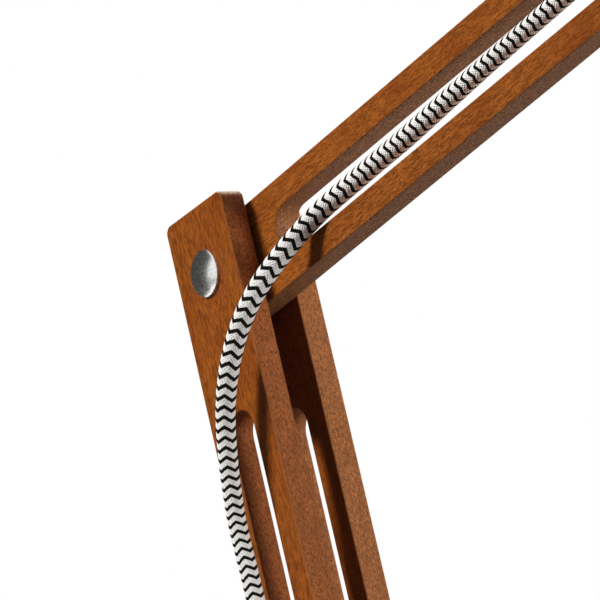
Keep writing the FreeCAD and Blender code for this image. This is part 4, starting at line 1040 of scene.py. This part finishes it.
# %% [markdown]
# ## Coil tie
# A flat strap holds the spare turns together. It could be a bent strip, but a box is quicker: its
# long edges are rounded, it is opened at both ends and it is given a thin wall outwards.

# %% Strap round the coil
STRAP_INSIDE = (18.6, 10, 12.4)
STRAP_ROUNDING = 3.1
STRAP_TURN = math.radians(45)
MIDDLE_TURN = 36
bm = bmesh.new()
bmesh.ops.create_cube(bm, size=1, matrix=Matrix.Diagonal((*mm(*STRAP_INSIDE), 1)))
bmesh.ops.recalc_face_normals(bm, faces=bm.faces)
long_edges = [edge for edge in bm.edges
              if abs(edge.verts[0].co.y - edge.verts[1].co.y) > mm(STRAP_INSIDE[1] / 2)]
round_edges(bm, long_edges, STRAP_ROUNDING, 6)
ends = [face for face in bm.faces if abs(face.normal.y) > 0.9]
bmesh.ops.delete(bm, geom=ends, context="FACES")
bmesh.ops.solidify(bm, geom=bm.faces[:], thickness=-mm(TIE_THICKNESS))
print("strap", [round(max(v.co[i] for v in bm.verts) * 2000, 2) for i in range(3)], "mm")
strap_spot = COIL_CENTRE + mm(MIDDLE_TURN * math.cos(STRAP_TURN),
                              MIDDLE_TURN * math.sin(STRAP_TURN),
                              STRAP_INSIDE[2] / 2 + TIE_THICKNESS)
strap_place = Matrix.Translation(strap_spot) @ Matrix.Rotation(STRAP_TURN, 4, "Z")
finished("coil_strap", moved(bm, strap_place), [PLASTIC], "base")

# %% [markdown]
# ## Studio: the room
# The lamp stands in a plain white room. White walls could be built, but they would also light
# the lamp. The world is therefore white where the camera, a shiny surface or clear glass looks
# at it, and a soft grey where it lights the scene.

# %% World
AMBIENT = 0.09
bpy.context.scene.view_settings.view_transform = "Standard"
world = bpy.data.worlds.new("studio")
bpy.context.scene.world = world
world.use_nodes = True
sky = world.node_tree
backdrop = sky.nodes["Background"]
rays = add(sky, "LightPath").outputs
mirrored = maths(sky, "MAXIMUM", rays["Is Glossy Ray"], rays["Is Transmission Ray"])
seen = maths(sky, "MAXIMUM", rays["Is Camera Ray"], mirrored)
backdrop.inputs["Color"].default_value = (1, 1, 1, 1)
sky.links.new(maths(sky, "MULTIPLY_ADD", seen, 1 - AMBIENT, AMBIENT), backdrop.inputs["Strength"])
print("room white where it is seen and", AMBIENT, "where it lights")

# %% [markdown]
# ## Studio: the floor
# The floor is a pale disc that takes the lamp's shadow near its middle. A hard rim would show as
# a line, so the disc fades towards its rim into a glow that looks as white as the room.

# %% Floor
FLOOR_RADIUS = 1.5
FADE_FROM, FADE_TO = 0.35, 1.2
GLOW = 0.2


def studio_piece(name, bm, material):
    """Turn a bmesh into a piece of the studio."""
    mesh = bpy.data.meshes.new(name)
    bm.to_mesh(mesh)
    bm.free()
    mesh.materials.append(material)
    piece = bpy.data.objects.new(name, mesh)
    bpy.context.collection.objects.link(piece)
    return piece


floor_material, tree, shader = finish("pale_floor", (0.86, 0.86, 0.86, 1), 0.9)
seen = add(tree, "LightPath").outputs["Is Camera Ray"]
glow = add(tree, "Emission", {"Color": (1, 1, 1, 1),
                              "Strength": maths(tree, "MULTIPLY_ADD", seen, 1 - GLOW, GLOW)})
spot = add(tree, "VectorMath", {0: add(tree, "TexCoord").outputs["Object"]}, operation="LENGTH")
faded = step(tree, spot.outputs["Value"], FADE_FROM, FADE_TO)
blended = add(tree, "MixShader", {0: faded, 1: shader.outputs[0], 2: glow.outputs[0]})
tree.links.new(blended.outputs[0], tree.nodes["Material Output"].inputs["Surface"])
bm = bmesh.new()
bmesh.ops.create_circle(bm, cap_ends=True, segments=96, radius=FLOOR_RADIUS)
floor = studio_piece("floor", bm, floor_material)
floor.visible_diffuse = False
print("floor", 2 * FLOOR_RADIUS, "m across")

# %% [markdown]
# ## Studio: the lights
# Three soft square lamps face the elbow: the key at the left front, a fill from the right and
# one high behind. A sun would give hard shadows and bare bulbs small highlights. Their watts are
# low enough that a colour looks about as it is written.

# %% Lamps
def lamp(name, turn, rise, distance, width, watts):
    """Square area lamp that faces the elbow from a turn and a rise in degrees."""
    data = bpy.data.lights.new(name, "AREA")
    data.shape = "SQUARE"
    data.size = width
    data.energy = watts
    holder = bpy.data.objects.new(name, data)
    turn, rise = math.radians(turn), math.radians(rise)
    way = Vector((math.sin(turn) * math.cos(rise), -math.cos(turn) * math.cos(rise),
                  math.sin(rise)))
    holder.location = ELBOW + way * distance
    holder.rotation_euler = way.to_track_quat("Z", "Y").to_euler()
    bpy.context.collection.objects.link(holder)
    print(name, watts, "W")
    return holder


key = lamp("key", -28, 26, 2.2, 0.6, 64)
key.visible_glossy = False
lamp("fill", 106, 12, 2.4, 1.2, 53)
lamp("back", 215, 44, 2.4, 1.4, 40)

# %% [markdown]
# ## Studio: the dark card
# In a white room, shiny metal looks flat. A dark card round the left gives it a dark side, and
# the card's foot darkens a dome's lower half too. Dark walls would take light away, so only shiny
# surfaces see this card. It is a corner that is spun round the elbow, pulled up into a wall and
# pulled in along the floor.

# %% Dark card
CARD_DISTANCE = 0.9
CARD_HEIGHT = 1.6
CARD_FROM, CARD_SWEEP = math.radians(-12), math.radians(-138)
CARD_FOOT, FOOT_RISE = 0.5, 0.002
CARD_GREY = 0.055
card_material, tree, _ = finish("dark_card", (0, 0, 0, 1), 1)
dark = add(tree, "Emission", {"Color": (1, 1, 0.93, 1), "Strength": CARD_GREY})
tree.links.new(dark.outputs[0], tree.nodes["Material Output"].inputs["Surface"])
bm = bmesh.new()
corner = bm.verts.new((ELBOW.x, -CARD_DISTANCE, 0.0))
bmesh.ops.rotate(bm, verts=[corner], cent=ELBOW, matrix=Matrix.Rotation(CARD_FROM, 3, "Z"))
bmesh.ops.spin(bm, geom=[corner], cent=ELBOW, axis=(0, 0, 1), angle=CARD_SWEEP, steps=24)
bottom = bm.edges[:]
wall_top = new_corners(bmesh.ops.extrude_edge_only(bm, edges=bottom))
bmesh.ops.translate(bm, vec=(0, 0, CARD_HEIGHT), verts=wall_top)
foot_end = new_corners(bmesh.ops.extrude_edge_only(bm, edges=bottom))
bmesh.ops.scale(bm, vec=(CARD_FOOT, CARD_FOOT, 1), space=Matrix.Translation(-ELBOW),
                verts=foot_end)
bmesh.ops.translate(bm, vec=(0, 0, FOOT_RISE), verts=foot_end)
card = studio_piece("card", bm, card_material)
for ray in ("camera", "diffuse", "transmission", "volume_scatter", "shadow"):
    setattr(card, "visible_" + ray, False)
print("card", len(card.data.polygons), "faces")
